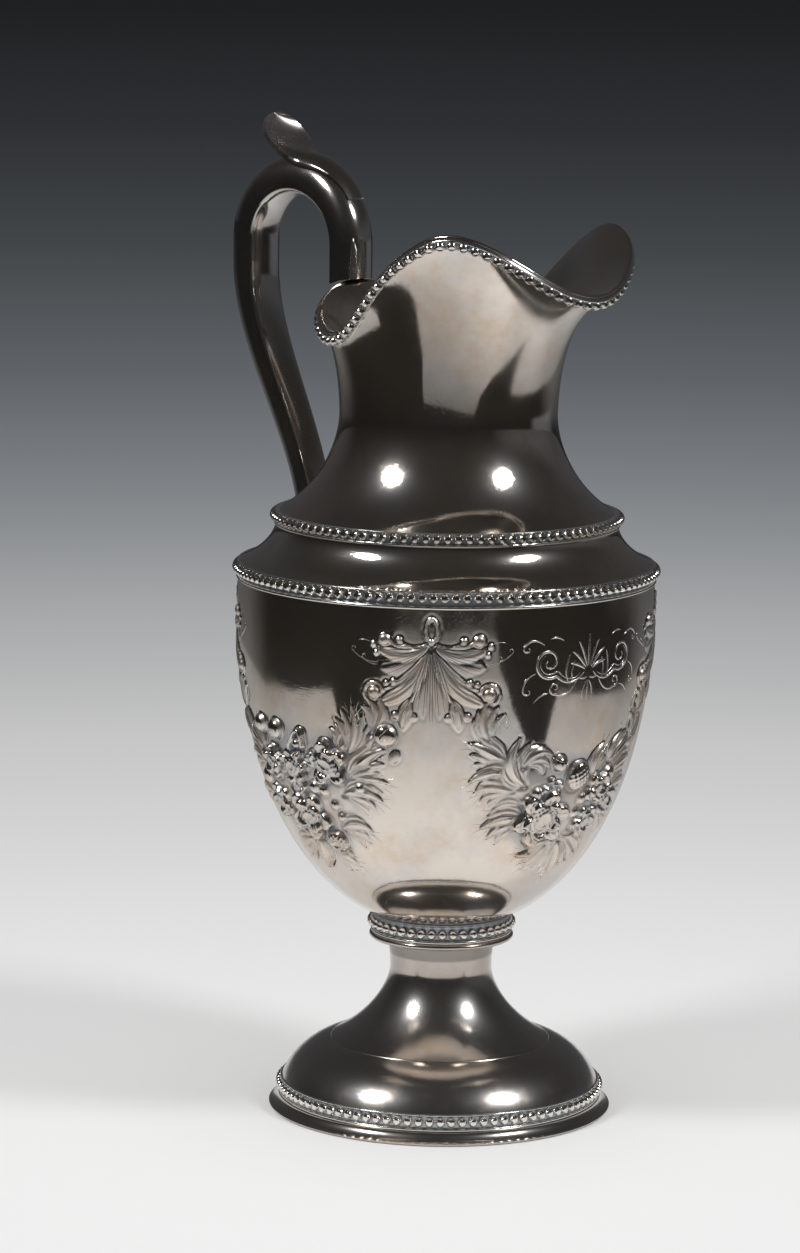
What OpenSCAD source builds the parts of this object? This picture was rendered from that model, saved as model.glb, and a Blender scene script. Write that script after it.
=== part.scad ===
// Silver water ewer on a tall foot: turned foot, bowl and shoulder with beaded borders, flower swags and
// pendants on the bowl, a lofted neck with a wavy mouth, and a hollow handle with a leaf thumb rest.
// The pouring lip points along +X, the handle along -X, and the ewer stands on Z = 0.

/* [Sheet and solder] */
// Thickness of the raised silver sheet
wall = 1.2; // [0.9:0.1:1.8]
// Room for solder where two pieces follow each other
solder_gap = 0.1; // [0.05:0.05:0.2]

/* [Bead borders] */
// Radius of one bead
bead_r = 1.7; // [1.2:0.1:2]
// Distance from bead to bead along a border
bead_pitch = 3.85; // [3.6:0.05:6]
// Distance of the bead centres in front of the border's wall
bead_out = 0.4; // [0.2:0.1:0.8]
// Depth of a border from its wall inwards
band_depth = 2.6; // [2:0.1:4]
// Radius of the half-round line under the beads
fillet_r = 0.6; // [0.4:0.05:0.9]

/* [Foot] */
// Diameter of the foot where it stands
foot_d = 124.8; // [110:0.2:140]
// Height of the flared foot rim
foot_rim_h = 4.1; // [3:0.1:6]
// How far the foot rim flares out below its border
foot_flare = 3.4; // [2:0.1:6]
// Width of the flat ring that the foot stands on
foot_rest_w = 3.2; // [2:0.1:4]
// Recess between the foot border's line and its beads
foot_bead_gap = 0.7; // [0.1:0.1:2]
// Plain edge above the foot border's beads
foot_band_edge = 1; // [0.2:0.1:2]
// Height of the foot dome above its border
dome_h = 15; // [12:0.5:20]
// Bulge of the dome from its straight chord
dome_bulge = 2.6; // [1:0.1:4]
// Width of the dome's flat land under the stem
dome_land = 4.8; // [3:0.1:7]

/* [Stem] */
// Radius of the trumpet's wide end on the dome
trumpet_r = 39.5; // [34:0.5:44]
// Radius of the stem at its waist
stem_r = 18.5; // [16:0.5:24]
// Height from the dome to the waist of the stem
stem_waist_h = 25.6; // [20:0.2:32]
// Height from the waist to the top of the stem
stem_top_h = 11.3; // [8:0.1:16]
// How far the stem widens again at its top
stem_top_flare = 0.9; // [0.4:0.1:3]

/* [Collar] */
// Radius of the wall behind the collar's beads
collar_r = 25.1; // [23:0.1:30]
// Thickness of the collar's lip
collar_lip_h = 2.3; // [1.6:0.1:3]
// How far the lip stands out from the collar's wall
collar_lip_out = 1.2; // [0.6:0.1:2.4]
// Thickness of the upright wall inside the collar's border
collar_core_t = 3; // [2:0.1:5]
// Recess between the collar's lip and its beads
collar_bead_gap = 0.7; // [0.1:0.1:2]
// Plain edge above the collar's beads
collar_band_edge = 1.2; // [0.2:0.1:2]

/* [Bowl] */
// Largest diameter of the bowl
bowl_d = 150.3; // [135:0.1:170]
// Height of the bowl from the collar to its top edge
bowl_h = 123.4; // [100:0.2:150]
// Height of the straight wall below the bowl's top edge
bowl_straight = 6; // [2:0.5:20]
// Radius of the bowl's flat seat on the collar
bowl_seat_r = 23.5; // [23:0.1:24]
// Fullness of the bowl's curve, 2 is an ellipse
bowl_fullness = 2.2; // [1.9:0.05:2.6]

/* [Shoulder] */
// Recess between the shoulder border's line and its beads
shoulder_bead_gap = 1; // [0.1:0.1:2]
// Plain edge above the shoulder's beads
shoulder_band_edge = 0.7; // [0.2:0.1:2]
// Height of the concave shelf above the border
shoulder_h = 13.4; // [10:0.2:20]
// How far the shelf's edge lies inside the bowl's widest part
shoulder_inset = 0.6; // [0.2:0.1:1.4]

/* [Neck] */
// Width of the shelf from the bowl's widest part in to the neck's border
shelf_w = 13.35; // [9:0.05:18]
// Recess between the neck border's line and its beads
neck_bead_gap = 0.1; // [0.1:0.1:1]
// Plain edge above the neck's beads
neck_band_edge = 0.2; // [0.2:0.1:1]
// How far the neck's lower edge lies inside that border's wall
neck_inset = 1.4; // [0.8:0.1:2]
// Radius of the neck at its waist
waist_r = 39.2; // [34:0.2:46]
// Height from the neck border to the waist
waist_h = 35; // [28:0.5:45]

/* [Mouth] */
// Mean height of the mouth above the waist
mouth_h = 45.4; // [38:0.2:55]
// Mean radius of the mouth
mouth_r = 54.5; // [50:0.5:60]
// Reach of the pouring lip beyond the mean radius
lip_reach = 9.4; // [4:0.2:14]
// Lengthening of the mouth along the line of pouring
mouth_oval = 6.4; // [2:0.2:9]
// Pinch of the mouth beside the pouring lip
mouth_pinch = 1.7; // [0:0.1:3]
// Rise of the mouth towards the pouring lip
mouth_rise = 13.4; // [8:0.2:18]
// Height of the three waves of the rim
rim_wave = 12.1; // [8:0.1:14]
// Rise of the rim's front and back above its sides
rim_saddle = 3.4; // [0:0.1:6]
// Depth of the narrow dip in the pouring lip
lip_dip = 3.8; // [0:0.1:6]
// Width of the beaded wire along the rim
rim_wire_w = 4.6; // [4.2:0.1:6]
// Thickness of the wire behind the beads
rim_wire_t = 1; // [0.7:0.1:1.4]

/* [Handle] */
// Width of the handle where it springs from the rim
handle_top_w = 17.5; // [14:0.5:22]
// Width of the handle at its outermost point
handle_mid_w = 20; // [16:0.5:24]
// Width of the handle where it lands on the shoulder
handle_end_w = 15.5; // [12:0.5:18]
// Thickness of the handle at the top, across its width
handle_t = 9.5; // [7.5:0.5:12]
// Thickness of the handle where it lands
handle_end_t = 8; // [7:0.5:10]
// Crown of the handle's inner strip
strip_crown = 1.5; // [0.4:0.1:2]
// Distance of the handle's first leg outside the rim's edge
handle_foot_out = 1.2; // [0:0.1:3]
// Height of the first leg's straight part
handle_leg_h = 11.5; // [6:0.5:18]
// Height of the arch above the straight legs
arch_h = 26.5; // [20:0.5:34]
// Span of the arch from leg to leg
arch_span = 50; // [40:0.5:60]
// Drop of the outer leg before it swings in
handle_drop = 10; // [4:0.5:20]
// Distance of the handle's landing inside the shoulder's edge
handle_land_in = 6.5; // [5.5:0.1:8]

/* [Thumb rest] */
// Height of the leaf's tip above its root
leaf_h = 16.5; // [12:0.5:22]
// Largest width of the leaf
leaf_w = 21; // [16:0.5:26]
// Thickness of the leaf
leaf_t = 1.8; // [1.4:0.1:2.4]
// Hollow of the leaf across its width
leaf_cup = 1.6; // [1:0.1:5]
// Lean of the leaf's tip away from the bowl
leaf_lean = 18; // [12:0.5:22]

/* [Chased ornament] */
// Angle of the first swag's middle from the pouring lip
swag_angle = -6.6; // [-20:0.2:20]
// Height of the largest flowers above the bowl
flower_h = 4; // [2.5:0.1:5]
// Height of the leaves above the bowl
spray_h = 1.9; // [1:0.1:2.6]
// Height of the low cushion under a swag's flowers
cushion_h = 1.6; // [1:0.1:2.2]

/* [Hidden] */
$fn = 96;

silver = "#b9b6b0";
bright = "#cfccc6";
dark = "#8d8c8a";

// Facets of beads and round lines, and how far a cutter runs past what it cuts
bead_facets = 24;
past = 1;

// Steps along a turned curve, round the mouth, up the neck and along the handle
curve_steps = 16;
mouth_steps = 64;
waist_steps = 7;
flare_steps = 9;
section_steps = 12;
rim_wire_steps = 3;
arch_steps = 18;
leg_steps = 20;

// Curves of the flares: 2 is a quarter ellipse, and the end angle keeps the edge of the sheet sloped
trumpet_curve = 1.6;
shoulder_curve = 1.65;
neck_curve = 1.8;
mouth_curve = 1.8;
flare_end = 66;
mouth_end = 70;

// Height of a border: its line, the recess, the beads and the plain edge above them
function band_height(gap, edge) = 2 * fillet_r + gap + 2 * bead_r + edge;

// Heights of the stacked joints, from the floor up
z_foot_band = foot_rim_h;
z_dome = z_foot_band + band_height(foot_bead_gap, foot_band_edge);
z_stem = z_dome + dome_h;
z_stem_waist = z_stem + stem_waist_h;
z_collar = z_stem_waist + stem_top_h;
z_collar_band = z_collar + collar_lip_h;
z_bowl = z_collar_band + band_height(collar_bead_gap, collar_band_edge);
z_bowl_straight = z_bowl + bowl_h - bowl_straight;
z_shoulder_band = z_bowl + bowl_h;
z_shoulder = z_shoulder_band + band_height(shoulder_bead_gap, shoulder_band_edge);
z_neck_band = z_shoulder + shoulder_h;
z_neck = z_neck_band + band_height(neck_bead_gap, neck_band_edge);
z_waist = z_neck + waist_h;
z_mouth = z_waist + mouth_h;

// Radii that follow from their neighbours
foot_r = foot_d / 2;
foot_wall_r = foot_r - foot_flare - fillet_r - bead_out;
bowl_r = bowl_d / 2;
shoulder_r = bowl_r - shoulder_inset;
neck_ring_r = bowl_r - shelf_w;
neck_base_r = neck_ring_r - neck_inset;

// Turned curves as lists of [radius, height]
function unit(v) = v / norm(v);
function reversed(list) = [for (i = [len(list) - 1:-1:0]) list[i]];

// Concave flare from an upright end [r0, z0] to a spreading end [r1, z1]
function flare_at(a, n) = [1 - pow(cos(a), 2 / n), pow(sin(a), 2 / n)];
function flare(r0, z0, r1, z1, n, last, steps) = let (end = flare_at(last, n))
  [for (i = [0:steps]) let (p = flare_at(last * i / steps, n))
    [r0 + (r1 - r0) * p[0] / end[0], z0 + (z1 - z0) * p[1] / end[1]]];

// Circular arc from p to q that bulges to the right of the way by the given height
function bulged(p, q, bulge, steps) = let (
    chord = norm(q - p), r = chord * chord / (8 * bulge) + bulge / 2, way = unit(q - p),
    side = [way[1], -way[0]], centre = (p + q) / 2 - side * (r - bulge), half = asin(chord / 2 / r))
  [for (i = [0:steps]) let (a = -half + 2 * half * i / steps) centre + r * (side * cos(a) + way * sin(a))];

// Tangent of a curve at one of its points
function along(curve, i) = unit(curve[min(i + 1, len(curve) - 1)] - curve[max(i - 1, 0)]);

// The same curve moved inwards by d, with its two ends kept at their heights
function inset(curve, d) = [for (i = [0:len(curve) - 1])
  let (t = along(curve, i), ends = i == 0 || i == len(curve) - 1)
  ends ? curve[i] - [d / abs(t[1]), 0] : curve[i] - d * [abs(t[1]), -sign(t[1]) * t[0]]];

// Points of a curve that lie between two heights
function between(curve, low, high) = [for (p = curve) if (p[1] > low && p[1] < high) p];

// Outline of a sheet whose two edges are cut level, with a short land at each edge
edge_land = wall / 4;
function sheet_outline(curve) = let (lining = inset(curve, wall), k = len(curve) - 1,
    low = curve[0][1] + edge_land, high = curve[k][1] - edge_land)
  concat(curve, [lining[k]], reversed(between(lining, low, high)), [lining[0]]);

module turned_sheet(curve) {
  rotate_extrude() polygon(sheet_outline(curve));
}

// One bead with its pole along X, out of the wall behind it
module bead() {
  rotate([0, 90, 0]) sphere(r = bead_r, $fn = bead_facets);
}

// Border wire: a flat wall with a row of beads and a half-round line below them
module bead_border(r, z, gap, edge) {
  h = band_height(gap, edge);
  count = round(2 * PI * (r + bead_out) / bead_pitch);
  difference() {
    translate([0, 0, z]) cylinder(r = r, h = h);
    translate([0, 0, z - past]) cylinder(r = r - band_depth, h = h + 2 * past);
  }
  rotate_extrude() translate([r, z + fillet_r]) circle(r = fillet_r, $fn = bead_facets);
  for (i = [0:count - 1])
    rotate(360 * (i + 0.5) / count) translate([r + bead_out, 0, z + h - edge - bead_r]) bead();
}

// Closed sheet between two grids of points; closed round when wrap is set
module sheet(outer, inner, wrap = false) {
  n = len(outer);
  m = len(outer[0]);
  last = wrap ? n - 1 : n - 2;
  function id(i, j) = (i % n) * m + j;
  function quad(a, b, c, d) = [[a, b, c], [a, c, d]];
  points = concat([for (row = outer) each row], [for (row = inner) each row]);
  half = n * m;
  skin = [for (i = [0:last], j = [0:m - 2])
    each quad(id(i, j), id(i, j + 1), id(i + 1, j + 1), id(i + 1, j))];
  lining = [for (f = skin) [f[0] + half, f[2] + half, f[1] + half]];
  low = [for (i = [0:last]) each quad(id(i, 0), id(i + 1, 0), id(i + 1, 0) + half, id(i, 0) + half)];
  high = [for (i = [0:last])
    each quad(id(i + 1, m - 1), id(i, m - 1), id(i, m - 1) + half, id(i + 1, m - 1) + half)];
  start = [for (j = [0:m - 2]) each quad(id(0, j + 1), id(0, j), id(0, j) + half, id(0, j + 1) + half)];
  end = [for (j = [0:m - 2])
    each quad(id(n - 1, j), id(n - 1, j + 1), id(n - 1, j + 1) + half, id(n - 1, j) + half)];
  polyhedron(points, concat(skin, lining, low, high, wrap ? [] : concat(start, end)), convexity = 8);
}

// Foot
module foot_rim() {
  top_r = foot_r - foot_flare;
  curve = flare(top_r, foot_rim_h, foot_r, wall / 2, trumpet_curve, flare_end, curve_steps / 2);
  color(silver) rotate_extrude() polygon(concat(curve,
    [[foot_r, 0], [foot_r - foot_rest_w, 0], [foot_wall_r - band_depth, foot_rim_h]]));
}

module foot_bead_band() {
  color(bright) bead_border(foot_wall_r, z_foot_band, foot_bead_gap, foot_band_edge);
}

module foot_dome() {
  dome = bulged([foot_wall_r, z_dome], [trumpet_r + wall / 2, z_stem - wall / 2], dome_bulge, curve_steps);
  lining = inset(dome, wall);
  top_in = trumpet_r - dome_land;
  color(silver) rotate_extrude() polygon(concat(dome, [[trumpet_r, z_stem], [top_in, z_stem]],
    [[top_in, z_stem - wall]], reversed(between(lining, z_dome + edge_land, z_stem - wall)), [lining[0]]));
}

// Stem
stem_curve = concat(
  reversed(flare(stem_r, z_stem_waist, trumpet_r, z_stem, trumpet_curve, flare_end, curve_steps)),
  [for (i = [1:curve_steps / 4]) let (u = 4 * i / curve_steps)
    [stem_r + stem_top_flare * u * u, z_stem_waist + stem_top_h * u]]);

module stem() {
  color(silver) turned_sheet(stem_curve);
}

// Collar
collar_core_r = collar_r - band_depth - solder_gap;

module stem_collar() {
  lip_r = collar_lip_h / 2;
  round_r = collar_r + collar_lip_out - lip_r;
  color(silver) union() {
    translate([0, 0, z_collar]) cylinder(r = round_r, h = collar_lip_h);
    rotate_extrude() translate([round_r, z_collar + lip_r]) circle(r = lip_r, $fn = bead_facets);
    difference() {
      translate([0, 0, z_collar]) cylinder(r = collar_core_r, h = z_bowl - z_collar);
      translate([0, 0, z_collar_band]) cylinder(r = collar_core_r - collar_core_t, h = z_bowl);
    }
  }
}

module collar_bead_band() {
  color(bright) bead_border(collar_r, z_collar_band, collar_bead_gap, collar_band_edge);
}

// Bowl: a straight wall that rounds in to a flat seat
bowl_end = acos(pow(bowl_seat_r / bowl_r, bowl_fullness / 2));
bowl_drop = (bowl_h - bowl_straight) / pow(sin(bowl_end), 2 / bowl_fullness);
bowl_curve = concat(
  reversed([for (i = [0:2 * curve_steps]) let (a = bowl_end * i / curve_steps / 2)
    [bowl_r * pow(cos(a), 2 / bowl_fullness), z_bowl_straight - bowl_drop * pow(sin(a), 2 / bowl_fullness)]]),
  [[bowl_r, z_shoulder_band]]);

module bowl() {
  lining = between(inset(bowl_curve, wall), z_bowl + wall, z_shoulder_band);
  color(bright) rotate_extrude() polygon(concat([[0, z_bowl]], bowl_curve, [[bowl_r - wall, z_shoulder_band]],
    reversed(lining), [[0, z_bowl + wall]]));
}

// Chased ornament: laid out on the unrolled bowl as [across, up] from a swag's middle and the bowl's seat,
// at the radius and height of bowl that the layout was drawn for, and scaled with the bowl
layout_r = 75;
layout_h = 123.4;
ornament = bowl_r / layout_r;

// Place on the bowl: turn from the swag's middle, height, radius, and lean of the surface there
function turn_at(p) = p[0] / layout_r * 180 / PI;
function z_at(p) = z_bowl + p[1] * bowl_h / layout_h;
function bowl_a(z) = asin(pow(max(0, (z_bowl_straight - z) / bowl_drop), bowl_fullness / 2));
function bowl_at(z) = bowl_r * pow(cos(bowl_a(z)), 2 / bowl_fullness);
function lean_at(z) = let (a = bowl_a(z), n = 2 / bowl_fullness)
  atan(bowl_r / bowl_drop * pow(cos(a), n - 2) * pow(sin(a), 2 - n));

// Sets a form on the bowl at p, with X round the bowl, Y up its side and Z out of it
module on_bowl(p) {
  z = z_at(p);
  lean = lean_at(z);
  rotate(turn_at(p)) translate([bowl_at(z), 0, z])
    multmatrix([[0, sin(lean), cos(lean), 0], [1, 0, 0, 0], [0, cos(lean), -sin(lean), 0]]) children();
}

// Raised dome: the cap of a sphere, r wide and h high
module dome(p, r, h) {
  ball = (r * r + h * h) / (2 * h);
  on_bowl(p) scale(ornament) translate([0, 0, h - ball]) sphere(r = ball, $fn = bead_facets);
}

// Open flower: a dome, a ring of petals on it and a boss in the middle
module flower(p, r, h, petals) {
  dome(p, r, 0.7 * h);
  for (i = [0:petals - 1])
    dome(p + 0.64 * r * [cos(360 * i / petals), sin(360 * i / petals)], 0.4 * r, 0.9 * h);
  dome(p, 0.38 * r, h);
}

// Leaf from p to a point q: a lying cone, half sunk, w wide at its root
leaf_point = 0.4;
module spray(p, q, w, h = spray_h) {
  r = (w * w / 4 + h * h) / (2 * h);
  way = [(q[0] - p[0]) * bowl_at(z_at((p + q) / 2)) / bowl_r, q[1] - p[1]];
  long = norm(way);
  rise = r - h;
  on_bowl((p + q) / 2) scale(ornament) rotate(atan2(way[1], way[0]))
    translate([-long / 2, 0, h - r]) rotate([0, 90 - atan(rise / long), 0])
      cylinder(r1 = r, r2 = leaf_point, h = norm([long, rise]), $fn = bead_facets);
}

// Ornament k quarters round from the first swag, with its back cut to the bowl that it lies on
bed_facets = 240;
module chased(k) {
  bed = inset(bowl_curve, -solder_gap);
  color(silver) rotate(swag_angle - 90 * k) difference() {
    union() children();
    rotate(180) rotate_extrude($fn = bed_facets) polygon(concat([[0, z_bowl]], bed, [[0, z_shoulder_band]]));
  }
}

// Low cushion under a swag, and the hole in a pendant's eyelet
cushion_r = 52;
eyelet_r = 1.4;
module cushion() {
  on_bowl([0, 52.5]) scale(ornament) translate([0, 0, cushion_h - cushion_r]) sphere(r = cushion_r);
}

// Swag with a big open flower, a strawberry and a rosebud
module open_swag(k) {
  chased(k) {
    cushion();
    flower([-12, 47], 11.2, flower_h, 6);
    flower([23.5, 50], 7, 0.8 * flower_h, 5);
    flower([13.5, 43], 6.4, 0.8 * flower_h, 5);
    dome([14.8, 56], 6.2, 0.95 * flower_h);
    dome([2, 61.5], 5, 0.9 * flower_h);
    for (p = [[-7.8, 67], [-14, 57], [21, 60], [6.5, 50]]) dome(p, 3, 0.7 * flower_h);
    for (s = [[[-22, 60], [-43, 75]], [[-22, 59], [-42, 62]], [[-20, 58], [-26, 75]],
        [[-18, 47], [-36, 45]], [[-2, 40], [-17, 33]], [[4, 40], [20, 30]], [[2, 40], [4, 23]],
        [[16, 58], [33, 72]], [[18, 57], [37, 63]], [[22, 50], [40, 53]], [[18, 44], [36, 41]],
        [[10, 56], [14, 71]]])
      spray(s[0], s[1], 6.4);
    spray([-34, 69], [-39, 89], 4.6);
    spray([28, 67], [39, 89], 4.6);
  }
}

// Swag with an open rose, a stippled bloom and hanging buds
module rose_swag(k) {
  chased(k) {
    cushion();
    flower([17.2, 66], 8.8, 0.95 * flower_h, 5);
    flower([2.5, 45], 9.6, 0.9 * flower_h, 5);
    flower([-15.5, 48], 7, 0.8 * flower_h, 5);
    dome([-1, 63], 6.6, 0.85 * flower_h);
    dome([-15, 62.5], 6.6, 0.8 * flower_h);
    dome([13.6, 37], 4.6, 0.7 * flower_h);
    for (p = [[9, 56], [-23, 56], [-4, 55.5], [18, 51]]) dome(p, 3, 0.7 * flower_h);
    for (s = [[[24, 60], [39, 71.5]], [[20, 66], [25, 80.5]], [[20, 56], [38, 53]], [[2, 40], [-4, 24.5]],
        [[6, 40], [20, 27]], [[12, 44], [32, 40]], [[-16, 62], [-33, 71.5]], [[-16, 60], [-38, 61]],
        [[-18, 49], [-38, 46.5]], [[-3, 40], [-17, 29.5]]])
      spray(s[0], s[1], 6.4);
    for (s = [[[26, 62], [40, 77]], [[36, 73], [39, 90]], [[-27, 67], [-41, 78]], [[-35, 73], [-39, 90]],
        [[-8, 60], [-9.4, 77]], [[-18, 63], [-20.6, 78]]])
      spray(s[0], s[1], 4.6);
    for (p = [[41, 77.5], [-9.4, 75], [-20.6, 75.5]]) dome(p, 3.8, 0.7 * flower_h);
  }
}

// Pendant between two swags: an eyelet and a crown over a fan of leaves, with scrolls at their ends
module pendant(k) {
  chased(k + 0.5) {
    difference() {
      dome([0, 116.5], 3.6, 1.8);
      on_bowl([0, 116.5]) scale(ornament)
        cylinder(r = eyelet_r, h = flower_h, center = true, $fn = bead_facets);
    }
    dome([0, 108.5], 6, 2);
    spray([0, 106], [0, 81], 5);
    for (side = [-1, 1]) {
      spray([2 * side, 110.5], [19.6 * side, 108], 6);
      spray([2 * side, 108], [20 * side, 92.5], 7);
      spray([1.5 * side, 105], [9.6 * side, 81], 5);
      dome([15.4 * side, 111.5], 3, 2);
      dome([20.4 * side, 94], 2.8, 2.4);
    }
  }
}

// Shoulder
module shoulder_bead_band() {
  color(bright) bead_border(bowl_r, z_shoulder_band, shoulder_bead_gap, shoulder_band_edge);
}

shoulder_curve_pts = reversed(
  flare(neck_ring_r, z_neck_band, shoulder_r, z_shoulder, shoulder_curve, flare_end, curve_steps));

module shoulder() {
  color(silver) turned_sheet(shoulder_curve_pts);
}

module neck_bead_band() {
  color(bright) bead_border(neck_ring_r, z_neck_band, neck_bead_gap, neck_band_edge);
}

// Mouth: radius and height of the rim at angle t from the pouring lip
function rim_r(t) = mouth_r + lip_reach * cos(t) + mouth_oval * cos(2 * t) + mouth_pinch * cos(3 * t);
function rim_z(t) = z_mouth + mouth_rise * cos(t) + rim_saddle * cos(2 * t) - rim_wave * cos(3 * t)
  - lip_dip * cos(4 * t);

// Outline of the neck at angle t, from its lower edge over the waist to the rim
function neck_curve_at(t) = concat(
  reversed(flare(waist_r, z_waist, neck_base_r, z_neck, neck_curve, flare_end, waist_steps)),
  [for (i = [1:flare_steps])
    flare(waist_r, z_waist, rim_r(t), rim_z(t), mouth_curve, mouth_end, flare_steps)[i]]);

// The outline's own inside: the lower edge stays flat on its border
function neck_lining(curve) = let (in = inset(curve, wall), k = len(curve) - 1, t = along(curve, k))
  concat([for (i = [0:k - 1]) in[i]], [curve[k] - wall * [t[1], -t[0]]]);

function turn(p, t) = [p[0] * cos(t), p[0] * sin(t), p[1]];
mouth_angles = [for (i = [0:mouth_steps - 1]) 360 * i / mouth_steps];
neck_outlines = [for (t = mouth_angles) neck_curve_at(t)];

module neck() {
  color(silver) sheet(
    [for (i = [0:mouth_steps - 1]) [for (p = neck_outlines[i]) turn(p, mouth_angles[i])]],
    [for (i = [0:mouth_steps - 1]) [for (p = neck_lining(neck_outlines[i])) turn(p, mouth_angles[i])]],
    wrap = true);
}

// Rim: the edge of the mouth at angle t, its way up the sheet and its outward side, as [radius, height]
function rim_edge(t) = [rim_r(t), rim_z(t)];
function rim_way(t) = let (curve = neck_curve_at(t)) along(curve, len(curve) - 1);
function rim_side(t) = let (way = rim_way(t)) [way[1], -way[0]];
function on_rim(t, down, out) = turn(rim_edge(t) - down * rim_way(t) + out * rim_side(t), t);

// Angles at equal distances along the rim, found by stepping through its length
rim_samples = [for (i = [0:360]) turn(rim_edge(i), i)];
function rim_step(i) = i < 360 ? norm(rim_samples[i + 1] - rim_samples[i]) : 0;
rim_lengths = [for (i = 0, s = 0; i <= 360; s = s + rim_step(i), i = i + 1) s];
rim_beads = round(rim_lengths[360] / bead_pitch);
// The beads' backs stay inside the wire, clear of the neck
rim_bead_out = 2 * solder_gap + bead_r;
function rim_angle(k) = lookup(rim_lengths[360] * k / rim_beads, [for (i = [0:360]) [rim_lengths[i], i]]);

module rim_bead_wire() {
  downs = [for (j = [0:rim_wire_steps]) rim_wire_w * (1 - j / rim_wire_steps)];
  color(bright) union() {
    sheet([for (t = mouth_angles) [for (d = downs) on_rim(t, d, solder_gap + rim_wire_t)]],
      [for (t = mouth_angles) [for (d = downs) on_rim(t, d, solder_gap)]], wrap = true);
    for (k = [0:rim_beads - 1])
      translate(on_rim(rim_angle(k), rim_wire_w / 2, rim_bead_out))
        rotate(rim_angle(k)) bead();
  }
}

// Handle: its centre line in the plane of pouring, as [distance from the axis, height]
handle_r = rim_r(180) + handle_foot_out;
handle_z = rim_z(180) + wall + solder_gap;
spring_z = handle_z + handle_leg_h;
handle_out = handle_r + arch_span;
land_r = shoulder_r - handle_land_in;

// Height of the shelf at distance r from the axis, between the points of its curve
shelf_heights = reversed(shoulder_curve_pts);
function shelf_z(r) = lookup(r, shelf_heights);
land_z = shelf_z(land_r) + solder_gap;
swing_h = spring_z - handle_drop - land_z;
function eased(u) = u * u * (3 - 2 * u);

handle_path = concat(
  [for (i = [0:1]) [handle_r, handle_z + handle_leg_h * i / 2]],
  [for (i = [0:arch_steps]) let (a = 180 - 180 * i / arch_steps)
    [handle_r + arch_span / 2 * (1 + cos(a)), spring_z + arch_h * sin(a)]],
  [for (i = [0:leg_steps]) let (u = i / leg_steps)
    [handle_out - (handle_out - land_r) * eased(u), spring_z - handle_drop - swing_h * u]]);
handle_last = len(handle_path) - 1;
crest = 2 + arch_steps / 2;

// Width and thickness of the handle at step i
function blend(a, b, u) = a + (b - a) * eased(min(1, max(0, u)));
function handle_w(i) = i < crest + arch_steps / 2
  ? blend(handle_top_w, handle_mid_w, i / (crest + arch_steps / 2))
  : blend(handle_mid_w, handle_end_w, (i - crest - arch_steps / 2) / leg_steps);
function handle_thick(i) = blend(handle_t, handle_end_t, (i - crest) / (handle_last - crest));

// Point of the handle's section: across its width, and outwards from its centre line
function handle_pt(i, across, out) = let (t = along(handle_path, i), p = handle_path[i] + out * [-t[1], t[0]])
  [-p[0], across, p[1]];

// The handle's ends follow the rim and the shelf that they stand on
function seated(p, i) = i == 0 ? [p[0], p[1], rim_z(180 - atan2(p[1], -p[0])) + wall + solder_gap]
  : i == handle_last ? [p[0], p[1], shelf_z(norm([p[0], p[1]])) + solder_gap] : p;

// Rounded channel: half an ellipse over the strip, moved in by d
function channel(i, d) = let (w = handle_w(i) / 2 - d, base = wall + solder_gap - handle_thick(i) / 2,
    rise = handle_thick(i) - wall - solder_gap - d)
  [for (j = [0:section_steps]) let (a = 180 * j / section_steps)
    seated(handle_pt(i, -w * cos(a), base + rise * sin(a)), i)];

// Inner strip: crowned across, and nearly flat where it lands beside the neck
strip_columns = 8;
crown_end = 0.2;
function crown(i) = strip_crown * blend(1, crown_end, (i - crest) / (handle_last - crest));
function strip_row(i, out) = [for (j = [0:strip_columns]) let (v = 2 * j / strip_columns - 1)
  seated(handle_pt(i, v * handle_w(i) / 2, out - handle_thick(i) / 2 - crown(i) * sqrt(1 - v * v)), i)];

module handle_shell() {
  color(silver) sheet(
    [for (i = [0:handle_last]) channel(i, 0)],
    [for (i = [0:handle_last]) channel(i, wall)]);
}

module handle_strip() {
  color(dark) sheet(
    [for (i = [0:handle_last]) strip_row(i, wall)],
    [for (i = [0:handle_last]) strip_row(i, 0)]);
}

// Thumb rest: a tongue that widens up to the crest and lifts off into a cupped leaf
tongue_rows = 6;
tongue_part = 0.86;
tongue_start = 0.5;
tongue_t = 0.45 * leaf_t;
leaf_rows = 12;
leaf_columns = 10;
leaf_root = crest - tongue_rows;

// Row k on the handle's outer side, raised by d above it
function tongue(k, d) = let (i = leaf_root + k, base = wall + solder_gap - handle_thick(i) / 2,
    rise = handle_thick(i) - wall - solder_gap)
  [for (j = [0:leaf_columns])
    let (v = blend(tongue_start, tongue_part, k / (tongue_rows - 1)) * (2 * j / leaf_columns - 1))
    handle_pt(i, v * handle_w(i) / 2, base + rise * sqrt(1 - v * v) + d)];

// Middle of the leaf: a curve that leaves the handle level and turns up to the tip
leaf_level = 1.5;
leaf_lift = 0.3;
leaf_base = tongue(tongue_rows - 1, solder_gap)[leaf_columns / 2];
function leaf_bow(u, start) = start * u * (1 - u) + u * u;
function leaf_slope(u, start) = start + 2 * (1 - start) * u;
function leaf_middle(u) = [leaf_lean * leaf_bow(u, leaf_level), leaf_h * leaf_bow(u, leaf_lift)];
function leaf_way(u) = unit([leaf_lean * leaf_slope(u, leaf_level), leaf_h * leaf_slope(u, leaf_lift)]);

// Half its width: as wide as the tongue at the root, widest at its shoulder, round at the tip
root_w = tongue_part * handle_top_w / 2;
leaf_shoulder = 0.55;
leaf_tip_w = leaf_w / 8;
function leaf_half(u) = u < leaf_shoulder ? blend(root_w, leaf_w / 2, u / leaf_shoulder)
  : leaf_w / 2 * sqrt(1 - pow((u - leaf_shoulder) / (1 - leaf_shoulder), 2));

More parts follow.
